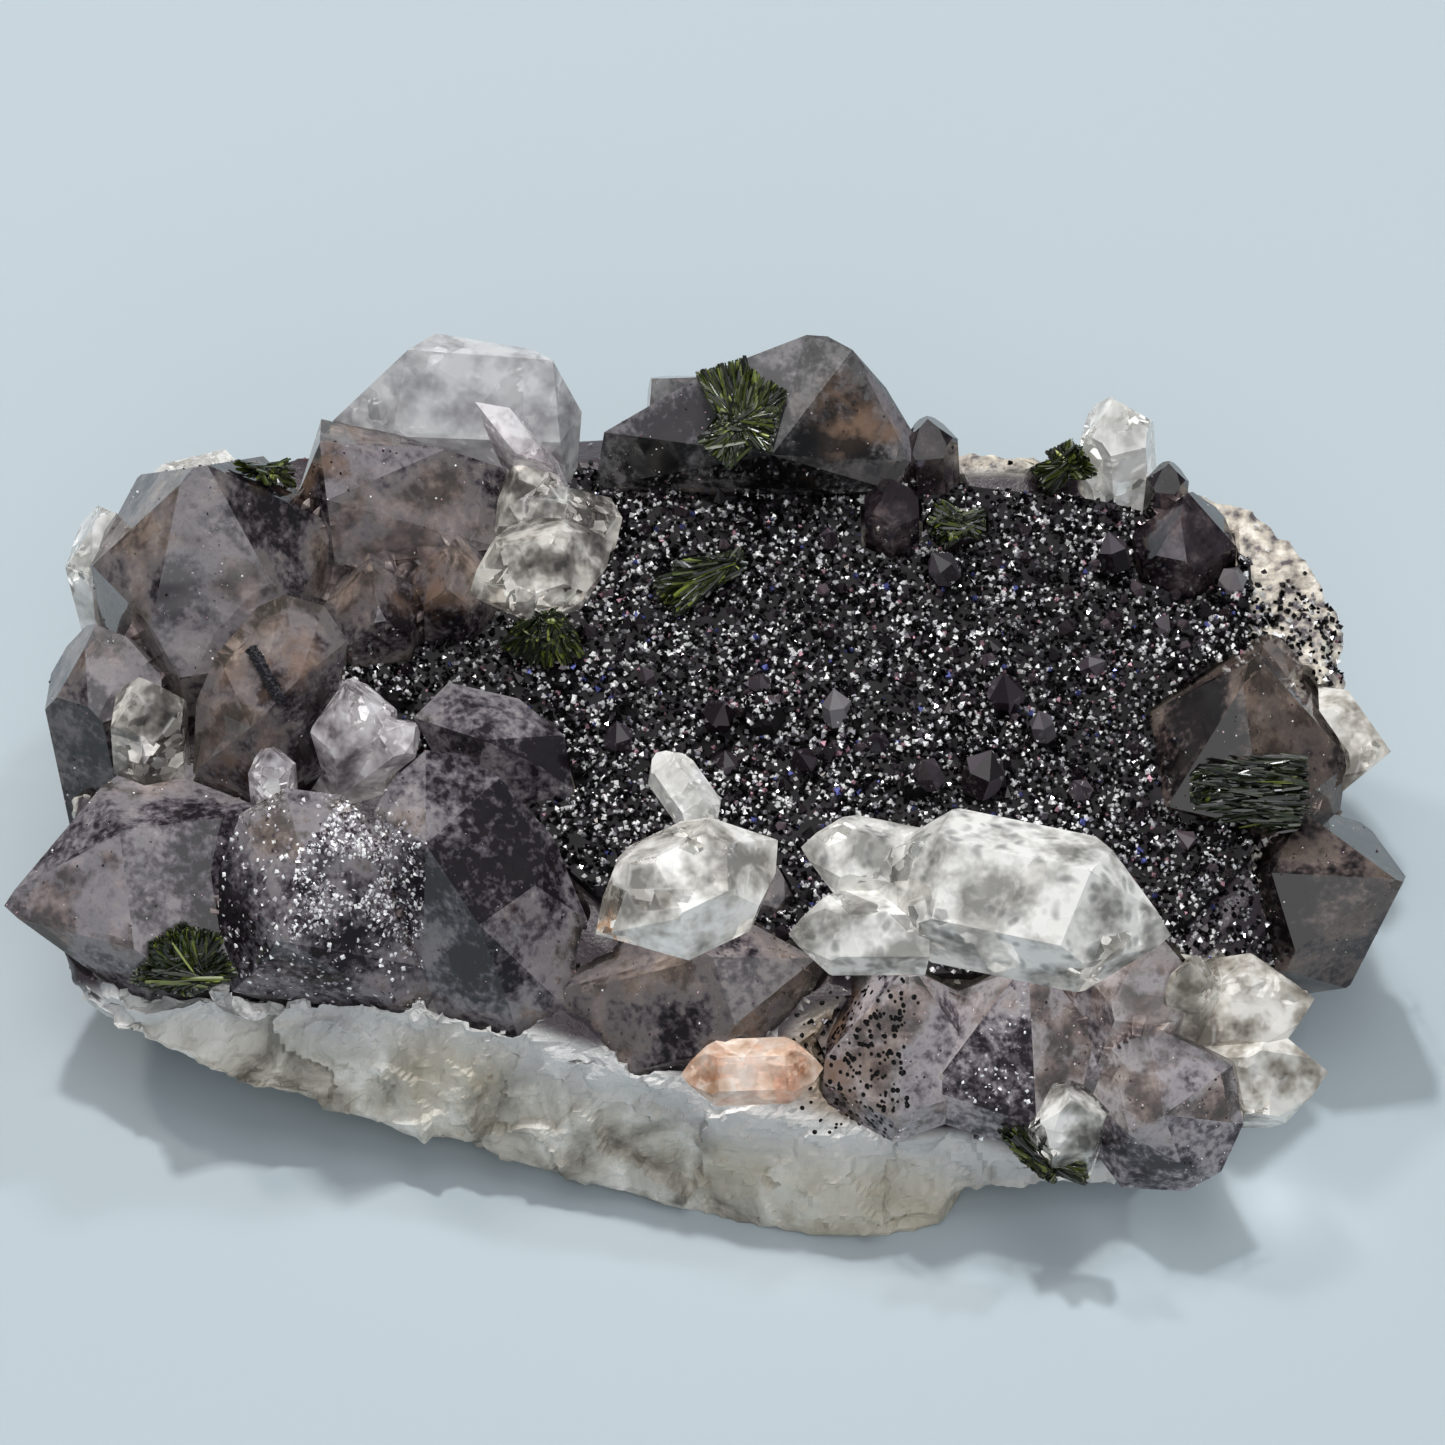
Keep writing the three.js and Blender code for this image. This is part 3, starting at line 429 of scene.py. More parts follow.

# Hematite-darkened quartz points: nearly black, with faces that flash like metal; the white, pink and blue
# points are painted glints.
druse_finish = toned("druse points dark with hematite", {"Metallic": 0.55, "Roughness": 0.16})
piece("druse points", grain_mesh, druse_finish)

# Larger points stand out of the field here and there: smoky, nearly black, glassy.
centres, ways = spots_on(crust.data, LARGER, upward)
axes = leaning(ways, 0.35)
radii = chance.uniform(*LARGER_RADIUS, LARGER) * chance.uniform(0.7, 1, LARGER)
large_mesh_tones = shades(LARGER, [(5, "#171216"), (4, "#2a2226"), (2, "#54494f")])
large_mesh = scattered("larger druse", *double_point(6), centres, axes, radii, 1.5 * radii, large_mesh_tones)
large_finish = toned("larger smoky druse points", {"IOR": QUARTZ_IOR, "Roughness": 0.08})
piece("larger druse points", large_mesh, large_finish)

# The tallest ones are clear smoky points; each way that a face looks is painted lighter by its own amount: a
# painted sheen.
solid = surface("druse_crust")
found = [(*sight(solid, across, up), radius, code) for across, up, radius, code in POINTS]
found = [(point, radius, code) for point, facing, radius, code in found if facing]
axes = leaning(np.tile(POINT_WAY, (len(found), 1)), 0.28)
radii = np.array([radius for _, radius, _ in found]) * MM * 0.8
tall_mesh = scattered("tall points", *tall_point(6), np.array([point for point, _, _ in found]), axes, radii,
                      1.2 * radii, np.array([linear(code) for _, _, code in found]))
tall_finish, tree, shader = material("tall smoky druse points")
tone = add(tree, "Attribute", attribute_name="tone")
facing = add(tree, "NewGeometry", out="True Normal")
sheen = add(tree, "TexNoise", {"Vector": facing, "Scale": 3.5, "Detail": 0})
painted_sheen = add(tree, "ValToRGB", {"Fac": sheen}, [(0.47, "#000000"), (0.7, "#615a62")])
faceted = add(tree, "MixRGB", {"Fac": 1.0, "Color1": tone, "Color2": painted_sheen}, blend_type="SCREEN")
fill(shader, {"Base Color": faceted, "IOR": QUARTZ_IOR, "Roughness": 0.08, "Transmission Weight": 0.25})
piece("tall druse points", tall_mesh, tall_finish)

# The bed between the points is the same dark quartz, seen only in the gaps, and painted nearly black as the
# shade there.
bed_finish, tree, shader = material("druse bed in shade")
where = add(tree, "TexCoord", out="Object")
specks = add(tree, "TexNoise", {"Vector": where, "Scale": 900, "Detail": 3})
bed = add(tree, "ValToRGB", {"Fac": specks}, [(0.42, "#060506"), (0.66, "#1c171b")])
fill(shader, {"Base Color": bed, "Roughness": 0.6, "Specular IOR Level": 0.2})
crust.data.materials.clear()
crust.data.materials.append(bed_finish)

# Smoky and amethyst crystals: glassy faces over clouds of hematite and purple dust that lie in and just under
# the skin, thick and plum-black low down, lilac and thinner higher up, and gone in the clear beige tips.
# Each keeps its CAD faces, and has an opaque, rippled inside a little below them.
SMOKY = {  # the crystals, and where their tips are: across, up and height
    "upper_left_smoky_crystals": [(-43, 35, 36), (-34.8, 25.3, 31), (-32.2, 39.4, 30.5), (-28, 27.9, 28.5),
                                  (-21.6, 29.3, 29), (-50, 22.8, 25), (-40.5, 17, 26)],
    "lower_left_amethysts": [(-57.2, 0.4, 15), (-34.2, 9.7, 25)],
    "front_smoky_crystal": [(8, -4, 18.5)],
    "right_smoky_crystals": [(41.8, 19.4, 28), (54, 2.4, 18), (43.8, 21.6, 26)],
    "front_right_amethysts": [(14.8, -4.9, 21), (24.2, -4.6, 21.5), (34.6, -1.8, 23), (34.2, -9.2, 18)],
    "back_smoky_crystal": [(6.8, 46.2, 33), (-5.6, 42.8, 27)],
    "back_dark_crystal": [(16.6, 39.4, 29)],
    "druse_edge_crystal": [(13.6, 34.6, 27)],
    "right_dark_crystal": [(37.2, 33.3, 28)],
}
EDGE_BEVEL = 0.22 * MM
INSIDE_DEPTH = 1.1 * MM
RIPPLE = 0.15 * MM
TIP_LIFT = 0.12  # how much lighter the tips are, as a share of the ramp of tones
# Faces are painted lighter or darker by the way they face, as painted sheen and shade.
FACE_LIGHT_SPREAD = 0.55  # how much the tone differs from one way of facing to another
DARK_DROP = -0.13


def glazed(node, finish):
    """A crystal keeps its own faces; flush triangles are made one, and the edges bevelled by a hair and painted
    pale as a highlight.
    """
    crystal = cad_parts[node]
    crystal.data.materials.clear()
    crystal.data.materials.append(finish)
    crystal.data.materials.append(edge_highlight_finish)
    crystal.data.shade_flat()
    flush = crystal.modifiers.new("flush faces", "DECIMATE")
    flush.decimate_type = "DISSOLVE"
    flush.angle_limit = math.radians(1)
    bevelled = crystal.modifiers.new("bevelled edges", "BEVEL")
    bevelled.width = EDGE_BEVEL
    bevelled.limit_method = "ANGLE"
    bevelled.angle_limit = math.radians(9)
    bevelled.use_clamp_overlap = False
    bevelled.material = 1
    crystal.visible_shadow = False


def cloud(node):
    """The inside seen through the skin: the crystal's form moved in, kept that deep, and rippled by noise."""
    mesh = reworked(node, ("REMESH", {"mode": "VOXEL", "voxel_size": 0.6 * MM}),
                    ("DISPLACE", {"strength": -INSIDE_DEPTH, "mid_level": 0}),
                    ("SHRINKWRAP", {"target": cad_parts[node], "wrap_method": "NEAREST_SURFACEPOINT",
                                    "wrap_mode": "INSIDE", "offset": INSIDE_DEPTH}))
    places = read(mesh.vertices, "co")
    places -= read(mesh.vertex_normals, "vector") * (RIPPLE * rough(places, 1.6 * MM, 29))[:, None]
    mesh.vertices.foreach_set("co", places.astype(np.float32).ravel())
    return mesh


def near(tree, where, spots, full, none):
    """1 at the spots, 0 far from them: the least distance to a spot, run from full mm to none mm."""
    least = None
    for spot in spots:
        away = add(tree, "VectorMath", {0: where, 1: seen(*spot)}, out="Value", operation="DISTANCE")
        least = away if least is None else add(tree, "Math", {0: least, 1: away},
                                               operation="MINIMUM")
    return add(tree, "MapRange", {"Value": least, "From Min": full * MM, "From Max": none * MM,
                                  "To Min": 1.0, "To Max": 0.0}, interpolation_type="SMOOTHSTEP")


def wandering(tree, where, scale, reach):
    """The place moved by smooth noise, up to about reach mm, so that edges drawn from it aren't round."""
    swirl = add(tree, "TexNoise", {"Vector": where, "Scale": scale, "Detail": 0.5}, out="Color")
    centred = add(tree, "VectorMath", {0: swirl, 1: (0.5, 0.5, 0.5)}, operation="SUBTRACT")
    sized = add(tree, "VectorMath", {0: centred, "Scale": 4 * reach * MM}, operation="SCALE")
    return add(tree, "VectorMath", {0: where, 1: sized}, operation="ADD")


def growth(tree, where, scale, strength):
    """Growth marks: low uneven swellings on the faces, which break up what they reflect."""
    swell = add(tree, "TexNoise", {"Vector": where, "Scale": scale, "Detail": 0})
    return add(tree, "Bump", {"Height": swell, "Strength": strength, "Distance": 0.2 * MM})


def smoky_quartz(node, tips, sheen_ways):
    """Skin of a smoky crystal: broad drifts, and specks of dust that are thickest where they are dark, set its
    colour and what shows through. It is clearer at the tips, each way of facing is painted a little lighter or
    darker as painted sheen and shade, and faces that look one way share a pale painted sheen."""
    made, tree, shader = material(node.replace("_", " ") + " skin")
    where = add(tree, "TexCoord", out="Object")
    moved = wandering(tree, where, 260, 2.2)
    broad = add(tree, "TexNoise", {"Vector": where, "Scale": 190, "Detail": 3})
    level = add(tree, "Math", {0: near(tree, moved, tips, 2, 8), 1: TIP_LIFT, 2: broad},
                operation="MULTIPLY_ADD")
    # Painted sheen and shade: the tone is moved up or down by noise of the way each face looks.
    facing = add(tree, "NewGeometry", out="True Normal")
    light_by_face = add(tree, "TexNoise", {"Vector": facing, "Scale": 3.1, "Detail": 0})
    centred = add(tree, "Math", {0: light_by_face, 1: 0.5}, operation="SUBTRACT")
    level = add(tree, "Math", {0: centred, 1: FACE_LIGHT_SPREAD, 2: level}, operation="MULTIPLY_ADD")
    if node in DARK:
        level = add(tree, "Math", {0: near(tree, moved, DARK[node], 2.0, 7.5), 1: DARK_DROP, 2: level},
                    operation="MULTIPLY_ADD")
    fine = add(tree, "TexNoise", {"Vector": where, "Scale": 1500, "Detail": 2, "Roughness": 0.6})
    speck = add(tree, "Math", {0: fine, 1: 0.52}, operation="SUBTRACT")
    dusty = add(tree, "MapRange", {"Value": level, "From Min": 0.42, "From Max": 0.62,
                                   "To Min": 0.72, "To Max": 0.24})
    level = add(tree, "Math", {0: speck, 1: dusty, 2: level}, operation="MULTIPLY_ADD")
    skin = add(tree, "ValToRGB", {"Fac": level}, SMOKY_TONES[node])
    shows = add(tree, "ValToRGB", {"Fac": level}, [(0.36, "#6a6a6a"), (0.54, "#9a9a9a"), (0.68, "#f0f0f0")])
    for way in sheen_ways:
        same = add(tree, "VectorMath", {0: facing, 1: way}, out="Value", operation="DOT_PRODUCT")
        flush = add(tree, "MapRange", {"Value": same, "From Min": 0.96, "From Max": 0.99})
        patchy = add(tree, "MapRange", {"Value": level, "From Min": 0.35, "From Max": 0.62,
                                        "To Min": 0.12, "To Max": 0.5})
        sheen_share = add(tree, "Math", {0: flush, 1: patchy}, operation="MULTIPLY")
        skin = add(tree, "MixRGB", {"Fac": sheen_share, "Color1": skin, "Color2": linear("#bdb8c0")})
    if node in STAINS:
        rust = add(tree, "TexNoise", {"Vector": where, "Scale": 480, "Detail": 3})
        ragged = add(tree, "MapRange", {"Value": rust, "From Min": 0.42, "From Max": 0.58,
                                        "To Min": 0.1, "To Max": 0.8})
        stain = add(tree, "Math", {0: near(tree, moved, STAINS[node], 1.0, 5.5), 1: ragged},
                    operation="MULTIPLY")
        skin = add(tree, "MixRGB", {"Fac": stain, "Color1": skin, "Color2": linear("#8d7361")})
    fill(shader, {"Base Color": skin, "Transmission Weight": shows, "Normal": growth(tree, where, 320, 0.2),
                  "IOR": QUARTZ_IOR, "Roughness": 0.06})
    return made


# Bevelled edges painted pale: a painted highlight along each edge, as thin pale lines.
edge_highlight_finish, tree, shader = material("quartz edges painted pale")
fill(shader, {"Base Color": linear("#e4e0dd"), "Transmission Weight": 0.1, "IOR": QUARTZ_IOR, "Roughness": 0.2})

# The inside seen where the skin is clear: beige-brown quartz with dark drifts.
core, tree, shader = material("smoky quartz inside")
where = add(tree, "TexCoord", out="Object")
drifts = add(tree, "TexNoise", {"Vector": where, "Scale": 330, "Detail": 3.5, "Roughness": 0.65})
inside = add(tree, "ValToRGB", {"Fac": drifts},
             [(0.36, "#1e1719"), (0.46, "#54484a"), (0.55, "#948682"), (0.66, "#c2b7b2")])
fill(shader, {"Base Color": inside, "Roughness": 0.5})

# From the thickest dust to the clear quartz.
PLUM = [(0.30, "#1a161a"), (0.42, "#494348"), (0.52, "#777072"), (0.62, "#9a928f"), (0.72, "#a89c90")]
PALE = [(0.28, "#221e23"), (0.40, "#58525a"), (0.50, "#878287"), (0.60, "#aea9ad"), (0.72, "#b2a9a1")]
LILAC = [(0.28, "#2c272d"), (0.39, "#676067"), (0.48, "#a29ba1"), (0.57, "#cec8cb"), (0.72, "#d0c8c3")]
BROWN = [(0.32, "#141112"), (0.44, "#3b3333"), (0.53, "#655a57"), (0.62, "#8b7d73"), (0.72, "#97887a")]
NIGHT = [(0.38, "#0b080a"), (0.50, "#231c21"), (0.60, "#3f363c"), (0.70, "#6b646c"), (0.80, "#8d878d")]
GREY = [(0.32, "#121213"), (0.44, "#353436"), (0.53, "#636264"), (0.62, "#8f8e8f"), (0.72, "#a5a3a1")]
SMOKY_TONES = {"upper_left_smoky_crystals": PLUM, "lower_left_amethysts": PALE, "front_smoky_crystal": PLUM,
               "right_smoky_crystals": BROWN, "front_right_amethysts": LILAC, "back_smoky_crystal": GREY,
               "back_dark_crystal": NIGHT, "druse_edge_crystal": NIGHT, "right_dark_crystal": NIGHT}
# Faces with a pale painted sheen, the soft light that they reflect, by a place where each is seen: across and
# up.
SHEEN_FACES = {"upper_left_smoky_crystals": [(-41, 27), (-28, 35)], "front_right_amethysts": [(36, -12)],
         "back_smoky_crystal": [(13, 41), (-5, 40)], "right_dark_crystal": [(36.3, 29.5)],
         "lower_left_amethysts": [(-51, 2)]}
# Places where the dust is thickest, and the quartz nearly black: across, up and height.
DARK = {"lower_left_amethysts": [(-18.5, 15, 24), (-13.5, 11, 22), (-40, 2, 20), (-20.5, 6, 24), (-16, -1, 20),
                                 (-30, 2, 20), (-45, 3, 17), (-22, 2, 22), (-21.5, 8, 26), (-23, 9, 27),
                                 (-42, 6, 20), (-16, 17, 24), (-12, 14, 22), (-23, 17, 25)],
        "upper_left_smoky_crystals": [(-36, 33, 30), (-24, 22, 24), (-30, 22, 24), (-32.5, 16, 28),
                                      (-45, 24, 26)],
        "right_smoky_crystals": [(36, 14, 22), (44, 0, 18)],
        "back_smoky_crystal": [(-4, 36, 26), (3, 37, 28), (8, 36.5, 28)]}
# Iron stain, rusty beige, where the photograph shows it on the smoky crystals.
STAINS = {"upper_left_smoky_crystals": [(-38.5, 35, 29), (-23, 26.5, 28), (-36, 20, 31), (-39.5, 13, 24),
                                        (-34, 36, 31)],
          "back_smoky_crystal": [(9.9, 38.9, 27.5)],
          "front_right_amethysts": [(32.2, -5.5, 20), (9.5, -10, 15), (10, -14, 12)]}
for node, tips in SMOKY.items():
    sheen_ways = [sight(surface(node), *place)[1] for place in SHEEN_FACES.get(node, [])]
    skin = smoky_quartz(node, tips, sheen_ways)
    piece(node + "_inside", cloud(node), core)
    glazed(node, skin)

# Flecks: single hematite plates, and bright specks of mica and open cracks painted white as glints, that float
# between the inside and the faces of the smoky crystals or lie on them. They are flat double points, turned
# nearly flush.
FLECK_THICKNESS = 0.35
SPOT_COUNT = 260


def shared_out(nodes, count, keep=None):
    """Random places on some crystals, as many on each as its share of their area."""
    areas = np.array([sum(f.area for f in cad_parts[node].data.polygons) for node in nodes])
    counts = np.ceil(count * areas / areas.sum()).astype(int)
    return [spots_on(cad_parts[node].data, n, keep) for node, n in zip(nodes, counts)]


def flecks(name, nodes, count, radii, depths, choices, keep):
    """Thin plates at random depths below the faces of some crystals, lying near to flush with them."""
    found = shared_out(nodes, count, keep)
    places = np.concatenate([spots for spots, _ in found])
    facing = np.concatenate([way for _, way in found])
    places -= facing * chance.uniform(*depths, len(places))[:, None] * MM
    axes = leaning(facing, 0.5)
    size = chance.uniform(*radii, len(places)) * MM
    return scattered(name, *double_point(4), places, axes, size, FLECK_THICKNESS * size,
                     shades(len(places), choices))


def below_tips(centres, facing):
    """Flecks keep to drifts: nowhere near a tip, and thick only where slow noise is high."""
    away = np.full(len(centres), np.inf)
    for tips in SMOKY.values():
        for tip in tips:
            away = np.minimum(away, np.linalg.norm(centres - seen(*tip), axis=1))
    drift = smooth_step(rough(centres, 5 * MM, 31), -0.2, 0.5)
    return smooth_step(away, 3.5 * MM, 8 * MM) * (0.15 + drift)


def sparkling(centres, facing):
    """The broken face between the two lower left points, which glitters: tiny open cracks, the light ones
    painted glints.
    """
    across, up = met(centres)
    inside = smooth_step(across, -40, -37) * (1 - smooth_step(across, -27, -23.5))
    inside *= smooth_step(up, -8, -5) * (1 - smooth_step(up, 6, 10)) * (facing[:, 2] > -0.2)
    bunched = smooth_step(rough(centres, 3 * MM, 5), 0.0, 0.4)
    return inside * (0.1 + bunched) + 1e-9


def in_patch(centres, facing):
    """The beige patch, which carries round black spots."""
    return spot_share(*met(centres), SPOTTED, 0.6, 1.25) * (facing @ np.array(to_viewer) > 0.2) + 1e-9


def veiled(centres, facing):
    """A broken white veil low on the front right crystals."""
    across, up = met(centres)
    inside = smooth_step(across, 12, 15) * (1 - smooth_step(across, 23, 27)) * smooth_step(up, -17, -15.5)
    streaks = smooth_step(rough(centres * np.array([0.4, 1, 1]), 1.6 * MM, 9), 0.05, 0.35)
    return inside * (1 - smooth_step(up, -13, -10.5)) * streaks * (facing @ np.array(to_viewer) > 0.2) + 1e-9


# Hematite plates: nearly black, with a dull metal flash. Cracks and mica: painted white, each a painted glint.
fleck_finish = toned("hematite flecks", {"Metallic": 0.6, "Roughness": 0.3})
glint_finish = toned("bright cracks and mica, partly painted glints", {"Roughness": 0.15})
# Piece, material, mesh, crystals, count, radii and depths in mm, tones, and where they lie.
FLECKS = [("dark hematite flecks", fleck_finish, "dark flecks", list(SMOKY), 14000, [0.07, 0.17], [-0.02, 0.5],
           [(6, "#1d151b"), (3, "#2e2028"), (1, "#4a3140")], below_tips),
          ("bright mica flecks", glint_finish, "bright flecks", list(SMOKY), 4200, [0.04, 0.12], [-0.03, 0.15],
           [(5, "#ffffff"), (2, "#e0b9cd")], below_tips),
          ("open cracks of the broken face", glint_finish, "glitter", ["lower_left_amethysts"], 5600,
           [0.07, 0.3], [-0.04, 0.1], [(4, "#ffffff"), (3, "#c9c4cb"), (3, "#8d868e"), (3, "#3f363d")],
           sparkling),
          ("white veil of the front right crystals", glint_finish, "veil", ["front_right_amethysts"], 260,
           [0.08, 0.26], [-0.03, 0.3], [(4, "#ffffff"), (2, "#b9b5ba")], veiled)]
for name, finish, *layout in FLECKS:
    piece(name, flecks(*layout), finish)

# Round black spots of hematite on the beige patch, half of them on the stone and half on the crystals.
spot_places, spot_facing = [np.concatenate(pair) for pair in
                            zip(spots_on(stone_mesh, SPOT_COUNT, in_patch),
                                spots_on(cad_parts["front_right_amethysts"].data, SPOT_COUNT, in_patch))]
radii = chance.uniform(0.1 * MM, 0.24 * MM, len(spot_places))
spot_mesh = scattered("spots", *double_point(8), spot_places, spot_facing, radii, 0.3 * radii,
                      shades(len(spot_places), [(1, "#0c0a0b")]))
piece("round hematite spots", spot_mesh, fleck_finish)

# Clear and pale crystals: water-clear quartz with white veils, which are healed cracks full of tiny bubbles,
# and flat cracks inside that show as light and dark patches with straight edges.
# Each keeps its CAD faces, and the depth of it takes a little light on the way.
PLANES = 1300
PLANE_THICKNESS = 0.02 * MM
CELLS = 300  # cells to a metre: the patches between cracks are about 3 mm wide


def rock_crystal(name, tones, windows, spots, cracks, stains=()):
    """Skin of a clear crystal: veils by noise, clear windows by cells, stretches of white crack lines between
    the cells, and grey spots."""
    made, tree, shader = material(name)
    where = add(tree, "TexCoord", out="Object")
    moved = wandering(tree, where, 300, 0.9)
    drifts = add(tree, "TexNoise", {"Vector": where, "Scale": 260, "Detail": 3.5, "Roughness": 0.65})
    skin = add(tree, "ValToRGB", {"Fac": drifts}, tones)
    if spots:
        rounds = add(tree, "TexVoronoi", {"Vector": moved, "Scale": 620})
        spotted = add(tree, "ValToRGB", {"Fac": rounds}, [(0.16, "#8a8d90"), (0.40, "#ffffff")])
        skin = add(tree, "MixRGB", {"Fac": spots, "Color1": skin, "Color2": spotted},
                   blend_type="MULTIPLY")
    flats = add(tree, "TexVoronoi", {"Vector": where, "Scale": CELLS}, out="Color")
    shows = add(tree, "ValToRGB", {"Fac": flats}, windows)
    if cracks:
        lines = add(tree, "TexVoronoi", {"Vector": where, "Scale": CELLS}, feature="DISTANCE_TO_EDGE")
        line = add(tree, "MapRange", {"Value": lines, "From Min": 0.012, "From Max": 0.05,
                                      "To Min": cracks, "To Max": 0.0})
        runs = add(tree, "TexNoise", {"Vector": where, "Scale": 420, "Detail": 1})
        stretch = add(tree, "MapRange", {"Value": runs, "From Min": 0.48, "From Max": 0.6})
        crack = add(tree, "Math", {0: line, 1: stretch}, operation="MULTIPLY")
        skin = add(tree, "MixRGB", {"Fac": crack, "Color1": skin, "Color2": linear("#ffffff")})
        shows = add(tree, "MixRGB", {"Fac": crack, "Color1": shows, "Color2": linear("#202020")})
    if stains:
        skin = add(tree, "MixRGB", {"Fac": near(tree, moved, stains, 0.8, 4.0), "Color1": skin,
                                    "Color2": linear("#c99a6e")})
    fill(shader, {"Base Color": skin, "Transmission Weight": shows, "Normal": growth(tree, where, 420, 0.35),
                  "IOR": QUARTZ_IOR, "Roughness": 0.06})
    inside = add(tree, "VolumeAbsorption", {"Color": linear("#d8d4cc"), "Density": 12})
    fill(tree.nodes["Material Output"], {"Volume": inside})
    return made


def crack_planes(name, nodes, count, deepest, choices):
    """Flat cracks inside crystals: thin plates turned any way, each nearly as wide as the faces are far off."""
    centres, room = [], []
    for node, (places, facing) in zip(nodes, shared_out(nodes, count)):
        faces = surface(node)
        for centre in places - facing * chance.uniform(0.35, deepest, len(places))[:, None] * MM:
            nearest, way, _, distance = faces.find_nearest(centre)
            if (nearest - Vector(centre)).dot(way) > 0:
                centres.append(centre)
                room.append(distance)
    axes = leaning(np.zeros((len(centres), 3)), 1)
    radii = np.array(room) * chance.uniform(0.5, 0.9, len(centres))
    return scattered(name, *double_point(5), np.array(centres), axes, radii,
                     np.full(len(centres), PLANE_THICKNESS), shades(len(centres), choices))


# The kinds of clear quartz: from grey to white veils, from closed to clear windows, grey spots, crack lines.
cracked = rock_crystal("cracked rock crystal", [(0.36, "#b9b8b4"), (0.48, "#e4e3df"), (0.6, "#ffffff")],
                       [(0.25, "#6a6a6a"), (0.5, "#b4b4b4"), (0.75, "#f4f4f4")], 0.0, 0.15)
stained = rock_crystal("rock crystal stained at one end",
                       [(0.36, "#85827d"), (0.48, "#cbc8c2"), (0.6, "#faf9f6")],
                       [(0.25, "#404040"), (0.5, "#909090"), (0.75, "#fcfcfc")], 0.0, 0.3,
                       [(-9, -1.5, 22), (-7, -3, 21)])
glassy = rock_crystal("clear cracked quartz", [(0.36, "#5b5955"), (0.47, "#b3b1ab"), (0.58, "#fbfaf7")],
                      [(0.25, "#606060"), (0.5, "#b8b8b8"), (0.75, "#ffffff")], 0.0, 0.0)
beige = rock_crystal("beige ribbed quartz", [(0.36, "#6e675f"), (0.46, "#b3ada3"), (0.58, "#f1eee8")],
                     [(0.25, "#505050"), (0.6, "#909090"), (0.85, "#f0f0f0")], 0.0, 0.2)
dimmed = rock_crystal("grey rock crystal", [(0.36, "#3a3735"), (0.48, "#7f7a75"), (0.6, "#dcd8d1")],
                      [(0.25, "#505050"), (0.5, "#a0a0a0"), (0.75, "#f4f4f4")], 0.0, 0.25)
spotted = rock_crystal("rock crystal with grey spots",
                       [(0.36, "#878681"), (0.46, "#bebcb8"), (0.58, "#f0efeb")],
                       [(0.25, "#404040"), (0.6, "#808080"), (0.85, "#e8e8e8")], 0.65, 0.0)
milky = rock_crystal("milky rock crystal", [(0.34, "#8f8e92"), (0.46, "#b3b3b6"), (0.58, "#d3d4d6")],
                     [(0.25, "#404040"), (0.6, "#707070"), (0.85, "#b0b0b0")], 0.0, 0.0)
lilac = rock_crystal("pale lilac quartz", [(0.36, "#6c6469"), (0.46, "#b7b0b4"), (0.58, "#efecee")],
                     [(0.25, "#505050"), (0.6, "#909090"), (0.85, "#f0f0f0")], 0.3, 0.2)
CLEAR = {
    "long_clear_floater": spotted,
    "bright_clear_floater": stained,
    "slim_clear_floater": cracked,
    "left_clear_floater": dimmed,
    "left_pale_crystal": cracked,
    "back_left_pale_crystal": cracked,
    "small_clear_crystals": lilac,
    "tiny_clear_crystal": lilac,
    "left_clear_crystal": dimmed,
    "back_clear_crystal": milky,
    "wedge_crystal": lilac,
    "top_right_clear_crystal": cracked,
    "right_clear_crystal": beige,
    "front_right_clear_crystals": beige,
    "front_clear_crystal": glassy,
}
# Healed cracks: films of tiny bubbles, white and a little glossy.
crack_finish = toned("healed cracks", {"Roughness": 0.3})
planes = crack_planes("cracks", list(CLEAR), PLANES, 1.9, [(6, "#ffffff"), (3, "#c9cbc9"), (1, "#6d6f6f")])
piece("healed cracks in rock crystal", planes, crack_finish).visible_shadow = False
for node, skin in CLEAR.items():
    glazed(node, skin)

# The peach crystal: clear quartz, a loose double point that lies on the front, coloured by thin iron stain in
# its cracks. It is made as the clear ones are, with stained plates inside.
peach_skin = rock_crystal("iron-stained rock crystal", [(0.36, "#a6846a"), (0.47, "#d0b6a2"), (0.6, "#efe3d8")],
                          [(0.25, "#303030"), (0.5, "#606060"), (0.75, "#a8a8a8")], 0.0, 0.2)
stain_planes = crack_planes("iron stain", ["peach_floater"], 120, 1.4,
                            [(3, "#fff1e6"), (4, "#dca684"), (2, "#a8704e")])
piece("iron stain in cracks", stain_planes, crack_finish).visible_shadow = False
glazed("peach_floater", peach_skin)

# Epidote: sprays of thin striated blades that start from one place, olive to nearly black, grown on the
# quartz last of all. Each spray fills the room of its plain solid, which it replaces.
EPIDOTE = {  # heart across and up, number of blades, and the one direction in which a stack lies
    "back_epidote_spray": ((1.5, 39), 1500, None),
    "field_epidote_blade": ((1.2, 28), 500, None),
    "left_epidote_spray": ((-14, 23.8), 700, None),
    "right_epidote_spray": ((19, 31), 500, None),
    "top_right_epidote_spray": ((28, 35.8), 600, None),
    "left_front_epidote_fan": ((-42.3, -5.6), 1300, None),
    "right_epidote_stack": ((38.2, 9.9), 800, (1.0, 0.02, 0.0)),
    "front_epidote_crescent": ((24.3, -19.2), 600, None),
    "back_left_epidote_tuft": ((-36.4, 35.2), 250, None),
}
BLADE_WIDTH = [0.07 * MM, 0.24 * MM]
STARTS = 26  # the blades of a spray start from this many places round its heart
STACK_SHINE = 0.12  # the share of bright blades in the stack, against that in a spray


